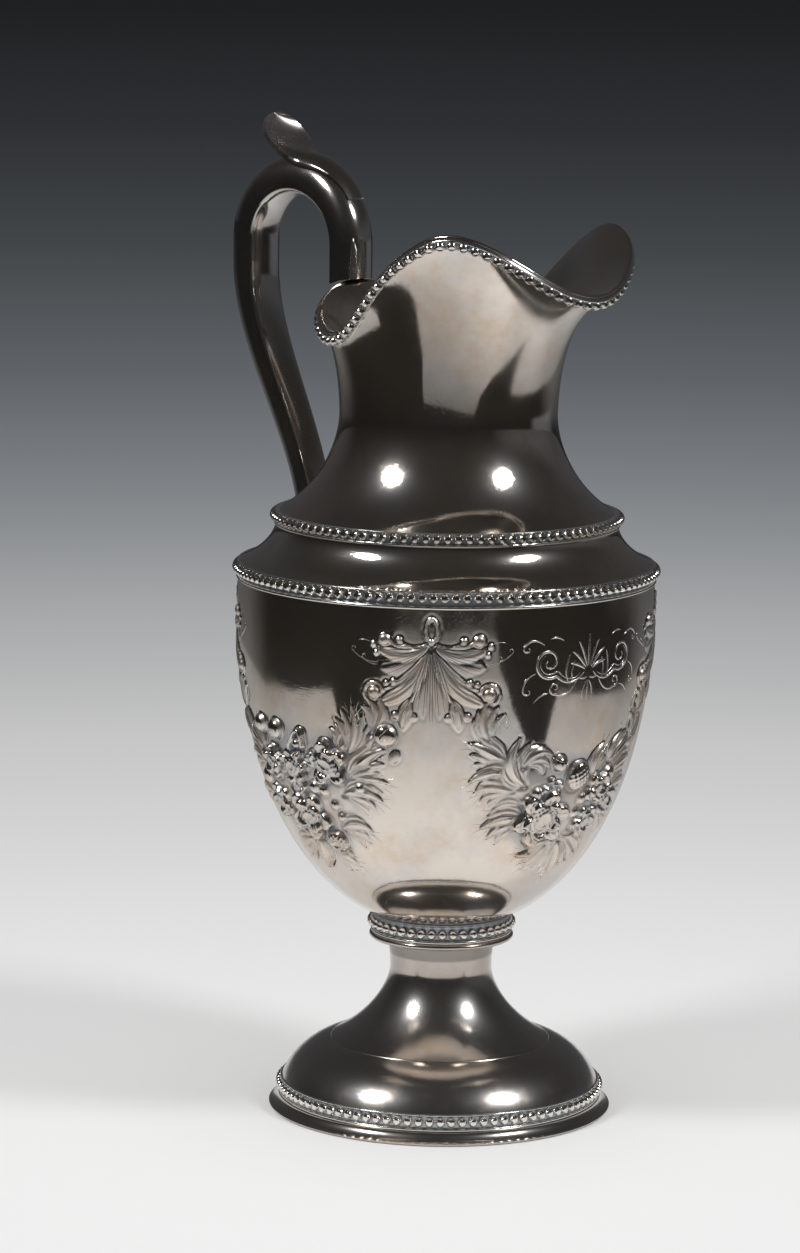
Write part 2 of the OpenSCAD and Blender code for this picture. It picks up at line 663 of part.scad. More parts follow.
// Row of the free leaf at u from its root to its tip, d behind its hollow face
function leaf(u, d) = let (way = leaf_way(u), middle = leaf_middle(u), w = max(leaf_half(u), leaf_tip_w / 2))
  [for (j = [0:leaf_columns])
    let (v = 2 * j / leaf_columns - 1, back = d + leaf_cup * sin(90 * u) * (1 - v * v))
    leaf_base + [-middle[0] - back * way[1], w * v, middle[1] - back * way[0]]];

// Steps along the leaf, closer together towards its round tip
leaf_steps = [for (k = [2:leaf_rows]) sin(90 * k / leaf_rows)];

module thumb_rest() {
  last = tongue_rows - 1;
  tops = concat(
    [for (k = [0:last]) tongue(k, solder_gap + blend(tongue_t, leaf_t, k / last))],
    [for (u = leaf_steps) leaf(u, -leaf_t)]);
  undersides = concat(
    [for (k = [0:last]) tongue(k, solder_gap)],
    [for (u = leaf_steps) leaf(u, 0)]);
  color(bright) sheet(tops, undersides);
}

foot_rim();
foot_bead_band();
foot_dome();
stem();
stem_collar();
collar_bead_band();
bowl();
open_swag(0);  // swag_1
rose_swag(1);  // swag_2
open_swag(2);  // swag_3
rose_swag(3);  // swag_4
pendant(0);  // pendant_1
pendant(1);  // pendant_2
pendant(2);  // pendant_3
pendant(3);  // pendant_4
shoulder_bead_band();
shoulder();
neck_bead_band();
neck();
rim_bead_wire();
handle_shell();
handle_strip();
thumb_rest();
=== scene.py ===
import math

import bpy
import numpy as np
from mathutils import Matrix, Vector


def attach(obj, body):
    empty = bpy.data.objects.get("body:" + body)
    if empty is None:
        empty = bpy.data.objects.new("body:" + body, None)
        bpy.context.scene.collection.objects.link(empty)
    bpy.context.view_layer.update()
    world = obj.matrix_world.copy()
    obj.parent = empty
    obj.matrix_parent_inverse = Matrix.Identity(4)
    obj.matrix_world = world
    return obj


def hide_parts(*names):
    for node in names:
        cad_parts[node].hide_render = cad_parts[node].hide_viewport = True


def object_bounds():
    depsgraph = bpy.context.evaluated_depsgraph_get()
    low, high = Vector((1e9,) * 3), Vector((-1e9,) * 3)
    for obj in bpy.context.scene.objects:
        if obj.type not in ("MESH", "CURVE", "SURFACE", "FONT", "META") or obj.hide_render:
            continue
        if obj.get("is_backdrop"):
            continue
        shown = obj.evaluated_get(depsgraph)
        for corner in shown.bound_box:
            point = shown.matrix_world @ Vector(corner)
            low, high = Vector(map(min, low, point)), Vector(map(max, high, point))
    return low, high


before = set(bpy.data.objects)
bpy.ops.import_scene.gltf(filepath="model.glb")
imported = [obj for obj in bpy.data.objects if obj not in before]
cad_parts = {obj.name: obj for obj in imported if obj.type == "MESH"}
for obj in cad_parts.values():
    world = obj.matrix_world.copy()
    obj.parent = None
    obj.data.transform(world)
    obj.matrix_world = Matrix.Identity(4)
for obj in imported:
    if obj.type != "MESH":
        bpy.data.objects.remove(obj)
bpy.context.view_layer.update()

mm = 0.001
wall = 1.2                                                 # sheet of the hollow pieces
solderGap = 0.1
depth = 2.6                                                # depth of a border behind its wall
turnSteps = 256
print("stage: frame loaded,", len(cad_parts), "pieces of CAD")

# joints of the ewer from the floor up, in mm, as the CAD stacks them
level = {
    "footBand": 4.1, "dome": 10.4, "stem": 25.4, "stemWaist": 51.0, "collar": 62.3, "collarBand": 64.6,
    "bowl": 71.1, "bowlStraight": 188.5, "shoulderBand": 194.5, "shoulder": 200.8, "neckBand": 214.2,
    "neck": 219.1, "waist": 254.1, "mouth": 299.5,
}
# radii that two pieces share
girth = {"bowl": 75.15, "neckRing": 61.8}


# quads of a grid of n rows and m columns; rows or columns close round where asked
def gridQuads(n, m, wrapRows=False, wrapCols=False):
    rows = np.arange(n if wrapRows else n - 1)
    cols = np.arange(m if wrapCols else m - 1)
    i, j = np.meshgrid(rows, cols, indexing="ij")
    i2, j2 = (i + 1) % n, (j + 1) % m
    return np.stack([i * m + j, i2 * m + j, i2 * m + j2, i * m + j2], -1).reshape(-1, 4)


# triangles from the steps of a closed ring of points to one hub
def fanTriangles(ring, hub):
    return np.stack([ring, np.roll(ring, -1), np.full(len(ring), hub)], -1)


# smooth step from 0 at low to 1 at high
def eased(x, low=0.0, high=1.0):
    t = np.clip((x - low) / (high - low), 0, 1)
    return t * t * (3 - 2 * t)


def unit(v):
    return v / np.linalg.norm(v, axis=-1, keepdims=True)


# unit tangents of a path
def tangents(path):
    return unit(np.gradient(path, axis=0))


# the direction to the right of a way in the plane
def rightOf(way):
    return np.stack([way[..., 1], -way[..., 0]], -1)


# length along a polyline up to each of its points
def lengthsAlong(path):
    return np.r_[0, np.cumsum(np.linalg.norm(np.diff(path, axis=0), axis=1))]


# points at equal steps along a polyline
def resampled(path, count):
    lengths = lengthsAlong(path)
    at = np.linspace(0, lengths[-1], count)
    return np.stack([np.interp(at, lengths, path[:, k]) for k in range(path.shape[1])], -1)


# points on a circle round [x, y] between two angles in degrees; the radius may change on the way
def arcPoints(x, y, radius, start, end, count):
    a = np.radians(np.linspace(start, end, count))
    return np.stack([x + radius * np.cos(a), y + radius * np.sin(a)], -1)


# outline q of [radius, height] at the angles t round Z: one for all of them, or one for each
def turnedRound(q, t):
    t = t[:, None]
    return np.stack([q[..., 0] * np.cos(t), q[..., 0] * np.sin(t), q[..., 1] + 0 * t], -1)


# level directions along a circle at the angles t
def sideways(t):
    return np.stack([-np.sin(t), np.cos(t), 0 * t], -1)


# mesh from point and face arrays, riding on the ewer's one body
# tarnish and painted shade run from 0 bright to 1 dark, satin from 0 polished to 1 dull, for each point
def addPiece(name, points, faceSets, look, nodes=(), sharp=None, tarnishAndShade=None, satin=None,
             normals=None):
    mesh = bpy.data.meshes.new(name)
    mesh.from_pydata((points * mm).tolist(), [], [f for s in faceSets for f in s.tolist()])
    mesh.polygons.foreach_set("use_smooth", np.ones(len(mesh.polygons), bool))
    if sharp:
        mesh.set_sharp_from_angle(angle=math.radians(sharp))
    for label, values in (("tarnishAndShade", tarnishAndShade), ("satin", satin)):
        layer = mesh.attributes.new(label, "FLOAT", "POINT")
        tones = np.zeros(len(points)) if values is None else values
        layer.data.foreach_set("value", tones.astype(np.float32))
    mesh.materials.append(look)
    mesh.update()
    if normals is not None:
        mesh.normals_split_custom_set_from_vertices(normals.tolist())
    piece = bpy.data.objects.new(name, mesh)
    bpy.context.scene.collection.objects.link(piece)
    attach(piece, "root")
    if nodes:
        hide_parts(*nodes)
    return piece


# a loop of [radius, height] turned round Z; a loop that starts and ends on the axis gets closed poles
def turnedMesh(loop, segments=turnSteps):
    poles = loop[0, 0] == 0 and loop[-1, 0] == 0
    ring = loop[1:-1] if poles else loop
    m = len(ring)
    points = turnedRound(ring, np.linspace(0, 2 * np.pi, segments, endpoint=False)).reshape(-1, 3)
    faces = [gridQuads(segments, m, True, not poles)]
    if poles:
        hub = len(points)
        first = np.arange(segments) * m
        points = np.vstack([points, [[0, 0, loop[0, 1]], [0, 0, loop[-1, 1]]]])
        faces.append(fanTriangles(first, hub)[:, [1, 0, 2]])
        faces.append(fanTriangles(first + m - 1, hub + 1))
    return points, faces


# turned piece of the ewer's body; tone is the tarnish and painted shade along its loop
def turnedPiece(name, node, loop, look, segments=turnSteps, tone=None):
    points, faces = turnedMesh(loop, segments)
    tarnishAndShade = None if tone is None else np.tile(tone, segments)
    addPiece(name, points, faces, look, [node], sharp=50, tarnishAndShade=tarnishAndShade)


# closed tube of rows, each a closed loop of points, with flat ends
def tubeMesh(rows):
    n, m = rows.shape[:2]
    ends = [np.arange(m)[None], ((n - 1) * m + np.arange(m))[None, ::-1]]
    return rows.reshape(-1, 3), [gridQuads(n, m, False, True)[:, ::-1]] + ends


# shares of width and height, 0 to 1, along a superellipse quarter that starts upright
def quarterShares(power, steps, endAngle=66):
    a = np.radians(np.linspace(0, endAngle, steps + 1))
    g, u = 1 - np.cos(a) ** (2 / power), np.sin(a) ** (2 / power)
    return g / g[-1], u / u[-1]


# concave flare from an upright end [r0, z0] to a spreading end [r1, z1]
def flare(r0, z0, r1, z1, power, steps):
    g, u = quarterShares(power, steps)
    return np.stack([r0 + (r1 - r0) * g, z0 + (z1 - z0) * u], -1)


# circular arc from p to q that bulges to the right of the way
def bulged(p, q, bulge, steps):
    p, q = np.array(p, float), np.array(q, float)
    chord = np.linalg.norm(q - p)
    r = chord * chord / (8 * bulge) + bulge / 2
    way = (q - p) / chord
    side = rightOf(way)
    a = np.linspace(-1, 1, steps + 1)[:, None] * math.asin(chord / 2 / r)
    return (p + q) / 2 - side * (r - bulge) + r * (side * np.cos(a) + way * np.sin(a))


# closed outline of a sheet: the outer curve upwards, then its inside back down
def sheetLoop(curve):
    inner = curve - wall * rightOf(tangents(curve))
    inner[:, 1] = np.clip(inner[:, 1], curve[:, 1].min(), curve[:, 1].max())
    return np.vstack([curve, inner[::-1]])


# node tree of a material or a world; what goes into a socket is a number, a colour or another node's output
class NodeSet:
    def __init__(self, owner):
        owner.use_nodes = True
        self.nodes = owner.node_tree.nodes
        self.links = owner.node_tree.links
        self.nodes.clear()

    def put(self, socket, value):
        if isinstance(value, bpy.types.NodeSocket):
            self.links.new(value, socket)
        elif socket.type == "RGBA":
            socket.default_value = (*value, 1)
        else:
            socket.default_value = value

    def fill(self, node, inputs):
        for key, value in inputs.items():
            self.put(node.inputs[key], value)
        return node

    def add(self, kind, inputs=None):
        return self.fill(self.nodes.new("ShaderNode" + kind), inputs or {})

    def attribute(self, name):
        node = self.add("Attribute")
        node.attribute_name = name
        return node.outputs["Fac"]

    def noise(self, vector, scale, detail, roughness):
        inputs = {"Vector": vector, "Scale": scale, "Detail": detail, "Roughness": roughness}
        return self.add("TexNoise", inputs).outputs["Fac"]

    def math(self, kind, a, b=0.0):
        node = self.add("Math", {0: a, 1: b})
        node.operation = kind
        return node.outputs[0]

    def times(self, a, b):
        return self.math("MULTIPLY", a, b)

    def measure(self, kind, a, b=(0, 0, 0)):
        node = self.add("VectorMath", {0: a, 1: b})
        node.operation = kind
        return node.outputs["Value"]

    # from the range a to b into the range c to d
    def ranged(self, value, a, b, c=0.0, d=1.0, kind="LINEAR"):
        node = self.add("MapRange", {"Value": value, "From Min": a, "From Max": b, "To Min": c, "To Max": d})
        node.interpolation_type = kind
        return node.outputs["Result"]

    def softly(self, value, a, b, c=0.0, d=1.0):
        return self.ranged(value, a, b, c, d, "SMOOTHSTEP")

    def mixed(self, factor, a, b):
        node = self.add("Mix")
        node.data_type = "RGBA"
        return self.fill(node, {"Factor": factor, 6: a, 7: b}).outputs[2]

    # greys along a factor: stops are [place, value], with the far ones a little blue
    def greys(self, factor, stops, blue=0.0):
        node = self.add("ValToRGB", {"Fac": factor})
        marks = node.color_ramp.elements
        while len(marks) < len(stops):
            marks.new(0.5)
        for mark, (place, v) in zip(marks, stops):
            cool = blue * float(eased(place, 0.42, 0.70))
            mark.position = place
            mark.color = (v, v * (1 + cool / 2), v * (1 + cool), 1)
        return node.outputs["Color"]


# silver
# noises that age it: scale, detail, roughness and the range that counts
agedBy = {
    "patch": (40, 7, 0.66, 0.44, 0.60),                    # cloudy film, some 30 mm across
    "mottle": (210, 6, 0.65, 0.36, 0.62),                  # thin places in the film
    "cloud": (30, 7, 0.66, 0.45, 0.62),                    # broad drifts of tone
    "speck": (900, 3, 0.70, 0.60, 0.78),                   # fine pits
    "scratch": (90, 3, 0.50, 0.62, 0.75),                  # lines drawn out one way
}
patina = {
    "warm": (0.86, 0.745, 0.63), "cool": (0.75, 0.805, 0.885), "film": 0.75, "cloud": 0.8, "thin": 0.35,
    "speckRough": 0.06, "scratchRough": 0.07, "tarnishRough": 0.30, "satinRough": 0.36, "roughest": 0.62,
    "coatRough": 0.30, "coatIor": 2.2, "drawnTurn": (0.3, 0.5, 0.2), "drawnScale": (1.0, 16.0, 16.0),
    "wave": (38, 2, 0.55), "waveDepth": 0.002, "fine": 0.02, "fineDepth": 0.0004,
}


# aged polished silver: haze and rubbed patches in the roughness, faint hammer waves and scratches as bump,
# and the tarnish-and-shade attribute darkens recesses and the places of painted shade
def silver(name, tint, dark, rough, haze, wave=0.05, grain=1.0, coat=0.35):
    look = bpy.data.materials.new(name)
    net = NodeSet(look)
    place = net.add("TexCoord").outputs["Object"]
    drawn = net.add("Mapping", {
        "Vector": place, "Rotation": patina["drawnTurn"], "Scale": patina["drawnScale"]}).outputs["Vector"]

    def aged(kind, vector=place, least=0.0):
        scale, detail, roughness, low, high = agedBy[kind]
        return net.ranged(net.noise(vector, scale, detail, roughness), low, high, least)

    tarnishAndShade, satin = net.attribute("tarnishAndShade"), net.attribute("satin")
    film = net.times(aged("patch"), aged("mottle", least=patina["thin"]))
    speck, scratch = aged("speck"), aged("scratch", drawn)

    warm = tuple(c * s for c, s in zip(tint, patina["warm"]))
    cool = tuple(c * s for c, s in zip(tint, patina["cool"]))
    clouded = net.mixed(net.times(aged("cloud"), patina["cloud"] * grain), tint, cool)
    body = net.mixed(net.times(film, patina["film"] * grain), clouded, warm)

    roughness = rough
    for amount, share in [(film, haze * grain), (speck, patina["speckRough"] * grain),
                          (scratch, patina["scratchRough"] * grain), (tarnishAndShade, patina["tarnishRough"]),
                          (satin, patina["satinRough"])]:
        roughness = net.math("ADD", net.times(amount, share), roughness)

    waves = net.add("Bump", {
        "Strength": wave, "Distance": patina["waveDepth"], "Height": net.noise(place, *patina["wave"])})
    fine = net.add("Bump", {
        "Strength": patina["fine"] * grain, "Distance": patina["fineDepth"],
        "Height": net.math("ADD", scratch, speck), "Normal": waves.outputs["Normal"]})
    metal = net.add("BsdfPrincipled", {
        "Metallic": 1.0, "Base Color": net.mixed(tarnishAndShade, body, dark),
        "Roughness": net.math("MINIMUM", roughness, patina["roughest"]), "Normal": fine.outputs["Normal"],
        "Coat Weight": coat, "Coat Roughness": patina["coatRough"], "Coat IOR": patina["coatIor"]})
    net.add("OutputMaterial", {"Surface": metal.outputs["BSDF"]})
    return look


greyTarnish = (0.20, 0.205, 0.215)
bodySilver = silver("bodySilver", tint=(0.885, 0.800, 0.712), dark=greyTarnish, rough=0.050, haze=0.07)
# its dark colour shows only in the painted shade under the collar
footSilver = silver("footSilver", tint=(0.56, 0.50, 0.44), dark=(0.20, 0.165, 0.135), rough=0.10, haze=0.12,
                    coat=1.0)
beadSilver = silver("beadSilver", tint=(0.90, 0.86, 0.81), dark=(0.40, 0.435, 0.47), rough=0.11, haze=0.10,
                    wave=0.0, grain=0.6)
handleSilver = silver("handleSilver", tint=(0.70, 0.665, 0.625), dark=greyTarnish, rough=0.085, haze=0.12,
                      wave=0.04, grain=0.8)
chasedSilver = silver("chasedSilver", tint=(0.825, 0.745, 0.665), dark=(0.30, 0.335, 0.385), rough=0.055,
                      haze=0.08)
lineSilver = silver("lineSilver", tint=(0.15, 0.15, 0.155), dark=greyTarnish, rough=0.34, haze=0.05,
                    wave=0.0, grain=0.4)
cutSilver = silver("cutSilver", tint=(0.84, 0.80, 0.755), dark=greyTarnish, rough=0.26, haze=0.05,
                   wave=0.0, grain=0.4)
print("stage: silver mixed")

# foot, stem and collar: turned sheets
foot = {
    "r": 62.4, "flare": 3.4, "restW": 3.2, "roll": 0.7, "wallR": 58.0, "trumpetR": 39.5, "stemR": 18.5,
    "topFlare": 0.9, "power": 1.6,
}
rimTopR = foot["r"] - foot["flare"]
rimCurve = flare(rimTopR, level["footBand"], foot["r"], foot["roll"], foot["power"], 20)[::-1]
roll = arcPoints(foot["r"] - foot["roll"], foot["roll"], foot["roll"], -90, 0, 7)
rimStart, rimEnd = [foot["r"] - foot["restW"], 0.0], [foot["wallR"] - depth, level["footBand"]]
turnedPiece("footRim", "foot_rim", np.vstack([[rimStart], roll, rimCurve[1:], [rimEnd]]), footSilver)

dome = {
    "edgeIn": 0.4, "step": 0.5, "bulge": 2.6, "lipR": 0.9, "lipIn": 0.35, "topW": 4.8, "footIn": 1.8,
    "topIn": 0.4,
}
domeCurve = bulged((foot["wallR"] - dome["edgeIn"], level["dome"]),
                   (foot["trumpetR"] + dome["step"], level["stem"] - dome["step"]), dome["bulge"], 40)
domeLip = arcPoints(foot["trumpetR"] - dome["lipIn"], level["stem"] - dome["lipR"], dome["lipR"], 20, 90, 6)
domeHoleR = foot["trumpetR"] - dome["topW"]
domeTop = np.array([[domeHoleR, level["stem"]], [domeHoleR, level["stem"] - wall]])
domeIn = bulged((foot["wallR"] - dome["footIn"], level["dome"]),
                (foot["trumpetR"] - dome["topIn"], level["stem"] - wall), dome["bulge"], 24)[::-1]
turnedPiece("footDome", "foot_dome", np.vstack([domeCurve, domeLip, domeTop, domeIn]), footSilver)

# the stem is darkened in the corner under the collar: painted shade
stem = {"collarShade": 0.8, "collarShadeFrom": 6.2, "collarShadeTo": 5.2}
trumpet = flare(foot["stemR"], level["stemWaist"], foot["trumpetR"], level["stem"], foot["power"], 48)[::-1]
rise = np.linspace(0, 1, 14)[1:]
stemTop = np.stack([foot["stemR"] + foot["topFlare"] * rise ** 2,
                    level["stemWaist"] + (level["collar"] - level["stemWaist"]) * rise], -1)
stemLoop = sheetLoop(np.vstack([trumpet, stemTop]))
collarShade = stem["collarShade"] * eased(stemLoop[:, 1] - level["collar"], -stem["collarShadeFrom"], -stem["collarShadeTo"])
turnedPiece("stem", "stem", stemLoop, footSilver, tone=collarShade)

collar = {"r": 25.1, "lipH": 2.3, "lipOut": 1.2, "coreT": 3.0, "steps": 160}
half = collar["lipH"] / 2
lipRound = arcPoints(collar["r"] + collar["lipOut"] - half, level["collar"] + half, half, -90, 90, 15)
coreR = collar["r"] - depth - solderGap
coreIn = coreR - collar["coreT"]
collarLoop = np.vstack([[[0, level["collar"]]], lipRound, [
    [coreR, level["collarBand"]], [coreR, level["bowl"]], [coreIn, level["bowl"]],
    [coreIn, level["collarBand"]], [0, level["collarBand"]]]])
turnedPiece("stemCollar", "stem_collar", collarLoop, footSilver, segments=collar["steps"])
print("stage: foot, stem and collar turned")

# beaded borders
bead = {
    "r": 1.7, "size": 1.84, "pitch": 3.85, "out": 0.4, "around": 12, "rings": 4, "back": 0.74, "clear": 0.01,
    "shade": 0.9, "shadeFrom": -0.45, "shadeTo": 0.20,
}
border = {
    "line": 0.6, "thin": 0.32, "sunk": 0.15, "corner": 0.1, "ledge": 1.5, "lineSteps": 11, "groundSteps": 9,
}


# small spheres of a few dozen faces at the given centres; out, side and up are their axes
def beadMesh(centres, out, side, up, radius):
    m = bead["around"]
    b = np.linspace(0, np.pi, bead["rings"] + 2)[1:-1]
    a = np.linspace(0, 2 * np.pi, m, endpoint=False)
    across = np.stack([np.sin(b)[:, None] * np.cos(a), np.sin(b)[:, None] * np.sin(a)], -1).reshape(-1, 2)
    ahead = np.maximum(np.repeat(np.cos(b), m), -bead["back"])
    local = np.vstack([np.column_stack([ahead, across]), [[1, 0, 0], [-bead["back"], 0, 0]]])
    axes = np.stack([out, side, up], 1)
    points = centres[:, None] + radius * np.einsum("pk,bkx->bpx", local, axes)
    k = len(local)
    quads = gridQuads(bead["rings"], m, False, True)
    first, last = np.arange(m), (bead["rings"] - 1) * m + np.arange(m)
    fans = np.vstack([fanTriangles(first, k - 2), fanTriangles(last, k - 1)[:, ::-1]])
    step = (np.arange(len(centres)) * k)[:, None, None]
    faces = [(quads[:, ::-1] + step).reshape(-1, 4), (fans + step).reshape(-1, 3)]
    # painted shade: each bead grows darker from its rim back towards the wall
    shade = bead["shade"] * eased(-local[:, 0], bead["shadeFrom"], bead["shadeTo"])
    return points.reshape(-1, 3), faces, np.tile(shade, len(centres))


# border: a wall with a half-round line below, a thin line above and a row of beads between;
# a top that rises to the next piece is dull like the ground
def borderPiece(name, node, r, z, gap, plain, rise):
    line, thin = border["line"], min(border["thin"], plain / 2)
    h = 2 * line + gap + 2 * bead["r"] + plain
    top = z + h + rise
    low = arcPoints(r, z + line, line, -90, 90, border["lineSteps"])
    high = arcPoints(r, top - thin, thin, -90, 90, border["lineSteps"])
    groundLow, groundHigh = z + 2 * line + border["corner"], top - 2 * thin - border["corner"]
    groundZ = np.linspace(groundLow, groundHigh, border["groundSteps"])
    ground = np.stack([np.full(len(groundZ), r - border["sunk"]), groundZ], -1)
    ledge = [[r - border["ledge"], z + h], [r - depth, z + h]]
    loop = np.vstack([[[r - depth, z]], low, ground, high, ledge])
    # tarnish along the loop: back, lower line, corner, ground, corner, upper line, ledge
    tones = np.repeat([0, 0.05, 0.55, 0.90, 0.5, 0.85 if rise else 0.10, 0.85], [1, 10, 1, 9, 1, 8, 4])
    points, faces = turnedMesh(loop)
    count = round(2 * math.pi * (r + bead["out"]) / bead["pitch"])
    t = 2 * np.pi * (np.arange(count) + 0.5) / count
    out = turnedRound(np.array([[1.0, 0.0]]), t)[:, 0]
    up = np.tile([0.0, 0.0, 1.0], (count, 1))
    beadR = r + bead["out"] + bead["r"] - bead["size"] - bead["clear"]
    centres = out * beadR + up * (z + h - plain - bead["r"])
    balls, ballFaces, shade = beadMesh(centres, out, sideways(t), up, bead["size"])
    faces += [f + len(points) for f in ballFaces]
    addPiece(name, np.vstack([points, balls]), faces, beadSilver, [node], sharp=60,
             tarnishAndShade=np.r_[np.tile(tones, turnSteps), shade])


# piece, node, radius, height, gap under the beads, plain strip over them and rise of the top
borders = [
    ("footBeadBand", "foot_bead_band", foot["wallR"], level["footBand"], 0.7, 1.0, 0.0),
    ("collarBeadBand", "collar_bead_band", collar["r"], level["collarBand"], 0.7, 1.2, 0.6),
    ("shoulderBeadBand", "shoulder_bead_band", girth["bowl"], level["shoulderBand"], 1.0, 0.7, 0.0),
    ("neckBeadBand", "neck_bead_band", girth["neckRing"], level["neckBand"], 0.1, 0.2, 0.0),
]
for row in borders:
    borderPiece(*row)
print("stage: borders beaded")

# bowl: plain shell inside, chased skins outside
bowl = {"r": girth["bowl"], "seatR": 23.5, "full": 2.2, "skinBack": 0.35, "shellBack": 0.45}
seatAngle = math.acos((bowl["seatR"] / bowl["r"]) ** (bowl["full"] / 2))
bowlDrop = (level["bowlStraight"] - level["bowl"]) / math.sin(seatAngle) ** (2 / bowl["full"])

# outline: r = R cos(a)^(2/full), z = straight - drop sin(a)^(2/full), then straight up
a = np.linspace(seatAngle, 0, 400)
bowlR = np.r_[bowl["r"] * np.cos(a) ** (2 / bowl["full"]), bowl["r"]]
bowlZ = np.r_[level["bowlStraight"] - bowlDrop * np.sin(a) ** (2 / bowl["full"]), level["shoulderBand"]]
bowlCurve = np.stack([bowlR, bowlZ], -1)
bowlLength = lengthsAlong(bowlCurve)

shellCurve = resampled(bowlCurve, 90)
side = rightOf(tangents(shellCurve))
outside = shellCurve - bowl["shellBack"] * side
inside = (shellCurve - wall * side)[::-1]
inside = inside[inside[:, 1] > level["bowl"] + wall]
outside[0] = [bowl["seatR"], level["bowl"]]
outside[-1] = [bowl["r"] - bowl["shellBack"], level["shoulderBand"]]
inside[0] = [bowl["r"] - wall, level["shoulderBand"]]
shellLoop = np.vstack([[[0, level["bowl"]]], outside, inside, [[0, level["bowl"] + wall]]])
turnedPiece("bowlShell", "bowl", shellLoop, bodySilver)

# skins: one for each quarter, from pendant to pendant, as a relief over the bowl's surface
# place on the bowl: across = arc at unrolledR from the middle of the swag, up = height z
relief = {
    "unrolledR": 75.0, "columns": 296, "fineRows": 270, "plainRows": 26, "fineFrom": 92.0, "swagAngle": -6.6,
    "edge": 0.3, "wireEdge": 0.22, "trench": 0.16, "moatAt": 0.6, "moatW": 0.5, "least": 0.02, "backStep": 4,
    "fadeLow": (6, 16), "fadeHigh": (0.2, 2.0), "inset": 0.02,
}
unrolledR = relief["unrolledR"]
quarter = unrolledR * math.pi / 4
fineLength = np.interp(relief["fineFrom"], bowlZ, bowlLength)
rowLength = np.r_[np.linspace(0, fineLength, relief["plainRows"], endpoint=False),
                  np.linspace(fineLength, bowlLength[-1], relief["fineRows"])]
stepAcross = 2 * quarter / (relief["columns"] - 1)
# one spare column each side
columnAcross = np.linspace(-quarter - stepAcross, quarter + stepAcross, relief["columns"] + 2)
rowZ, rowR = np.interp(rowLength, bowlLength, bowlZ), np.interp(rowLength, bowlLength, bowlR)
rowCurve = np.stack([rowR, rowZ], -1)
surfaceOut = rightOf(tangents(rowCurve))


def lengthAt(z):
    return np.interp(z, bowlZ, bowlLength)


def radiusAt(z):
    return np.interp(z, bowlZ, bowlR)


# path of [across, height] in millimetres of the surface, from the upright through c
def flattened(path, c=0.0):
    return np.stack([(path[:, 0] - c) * radiusAt(path[:, 1]) / unrolledR, lengthAt(path[:, 1])], -1)


# smooth curve of three points, with q as the one that pulls
def bent(p, q, r, steps=16):
    t = np.linspace(0, 1, steps)[:, None]
    return (1 - t) ** 2 * np.array(p) + 2 * t * (1 - t) * np.array(q) + t * t * np.array(r)


# values of the chased forms, as shares of their own sizes where nothing else is said
leafForm = {
    "rise": 0.75, "fall": 0.6, "leastW": 0.04, "sharp": 2.2, "crown": 0.6, "rootH": 0.15, "flute": 0.10,
    "groove": 0.20, "forward": 0.9, "rib": 0.30, "ribW": 0.40, "ribTo": 0.92,
}
tuftForm = {
    "spread": 15.0, "long": 1.12, "shorter": 0.15, "wide": 0.74, "lower": 0.13, "full": 0.5, "flutes": 3,
    "dark": 0.22,
}
flowerForm = {
    "rowIn": 0.30, "lift": 0.20, "rowLift": 0.25, "petalW": 3.1, "petalH": 0.55,
    "bossR": 1.25, "bossH": 0.30, "bossAt": 0.42, "bossDark": 0.7, "stipple": 0.13,
    "eyeR": 0.62, "eyeH": -0.14, "eyeAt": 0.72, "eyeLong": 1.15, "eyeDark": 0.85,
}
petalForm = {
    "heart": 0.56, "long": 0.46, "wide": 0.62, "flat": 0.55, "edge": 0.25, "line": 0.10, "linePitch": 0.34,
    "crease": 0.12, "creaseW": 0.5, "dark": 0.6,
}
pits = {"depth": 1.7, "turn": 3.3, "to": 0.97}


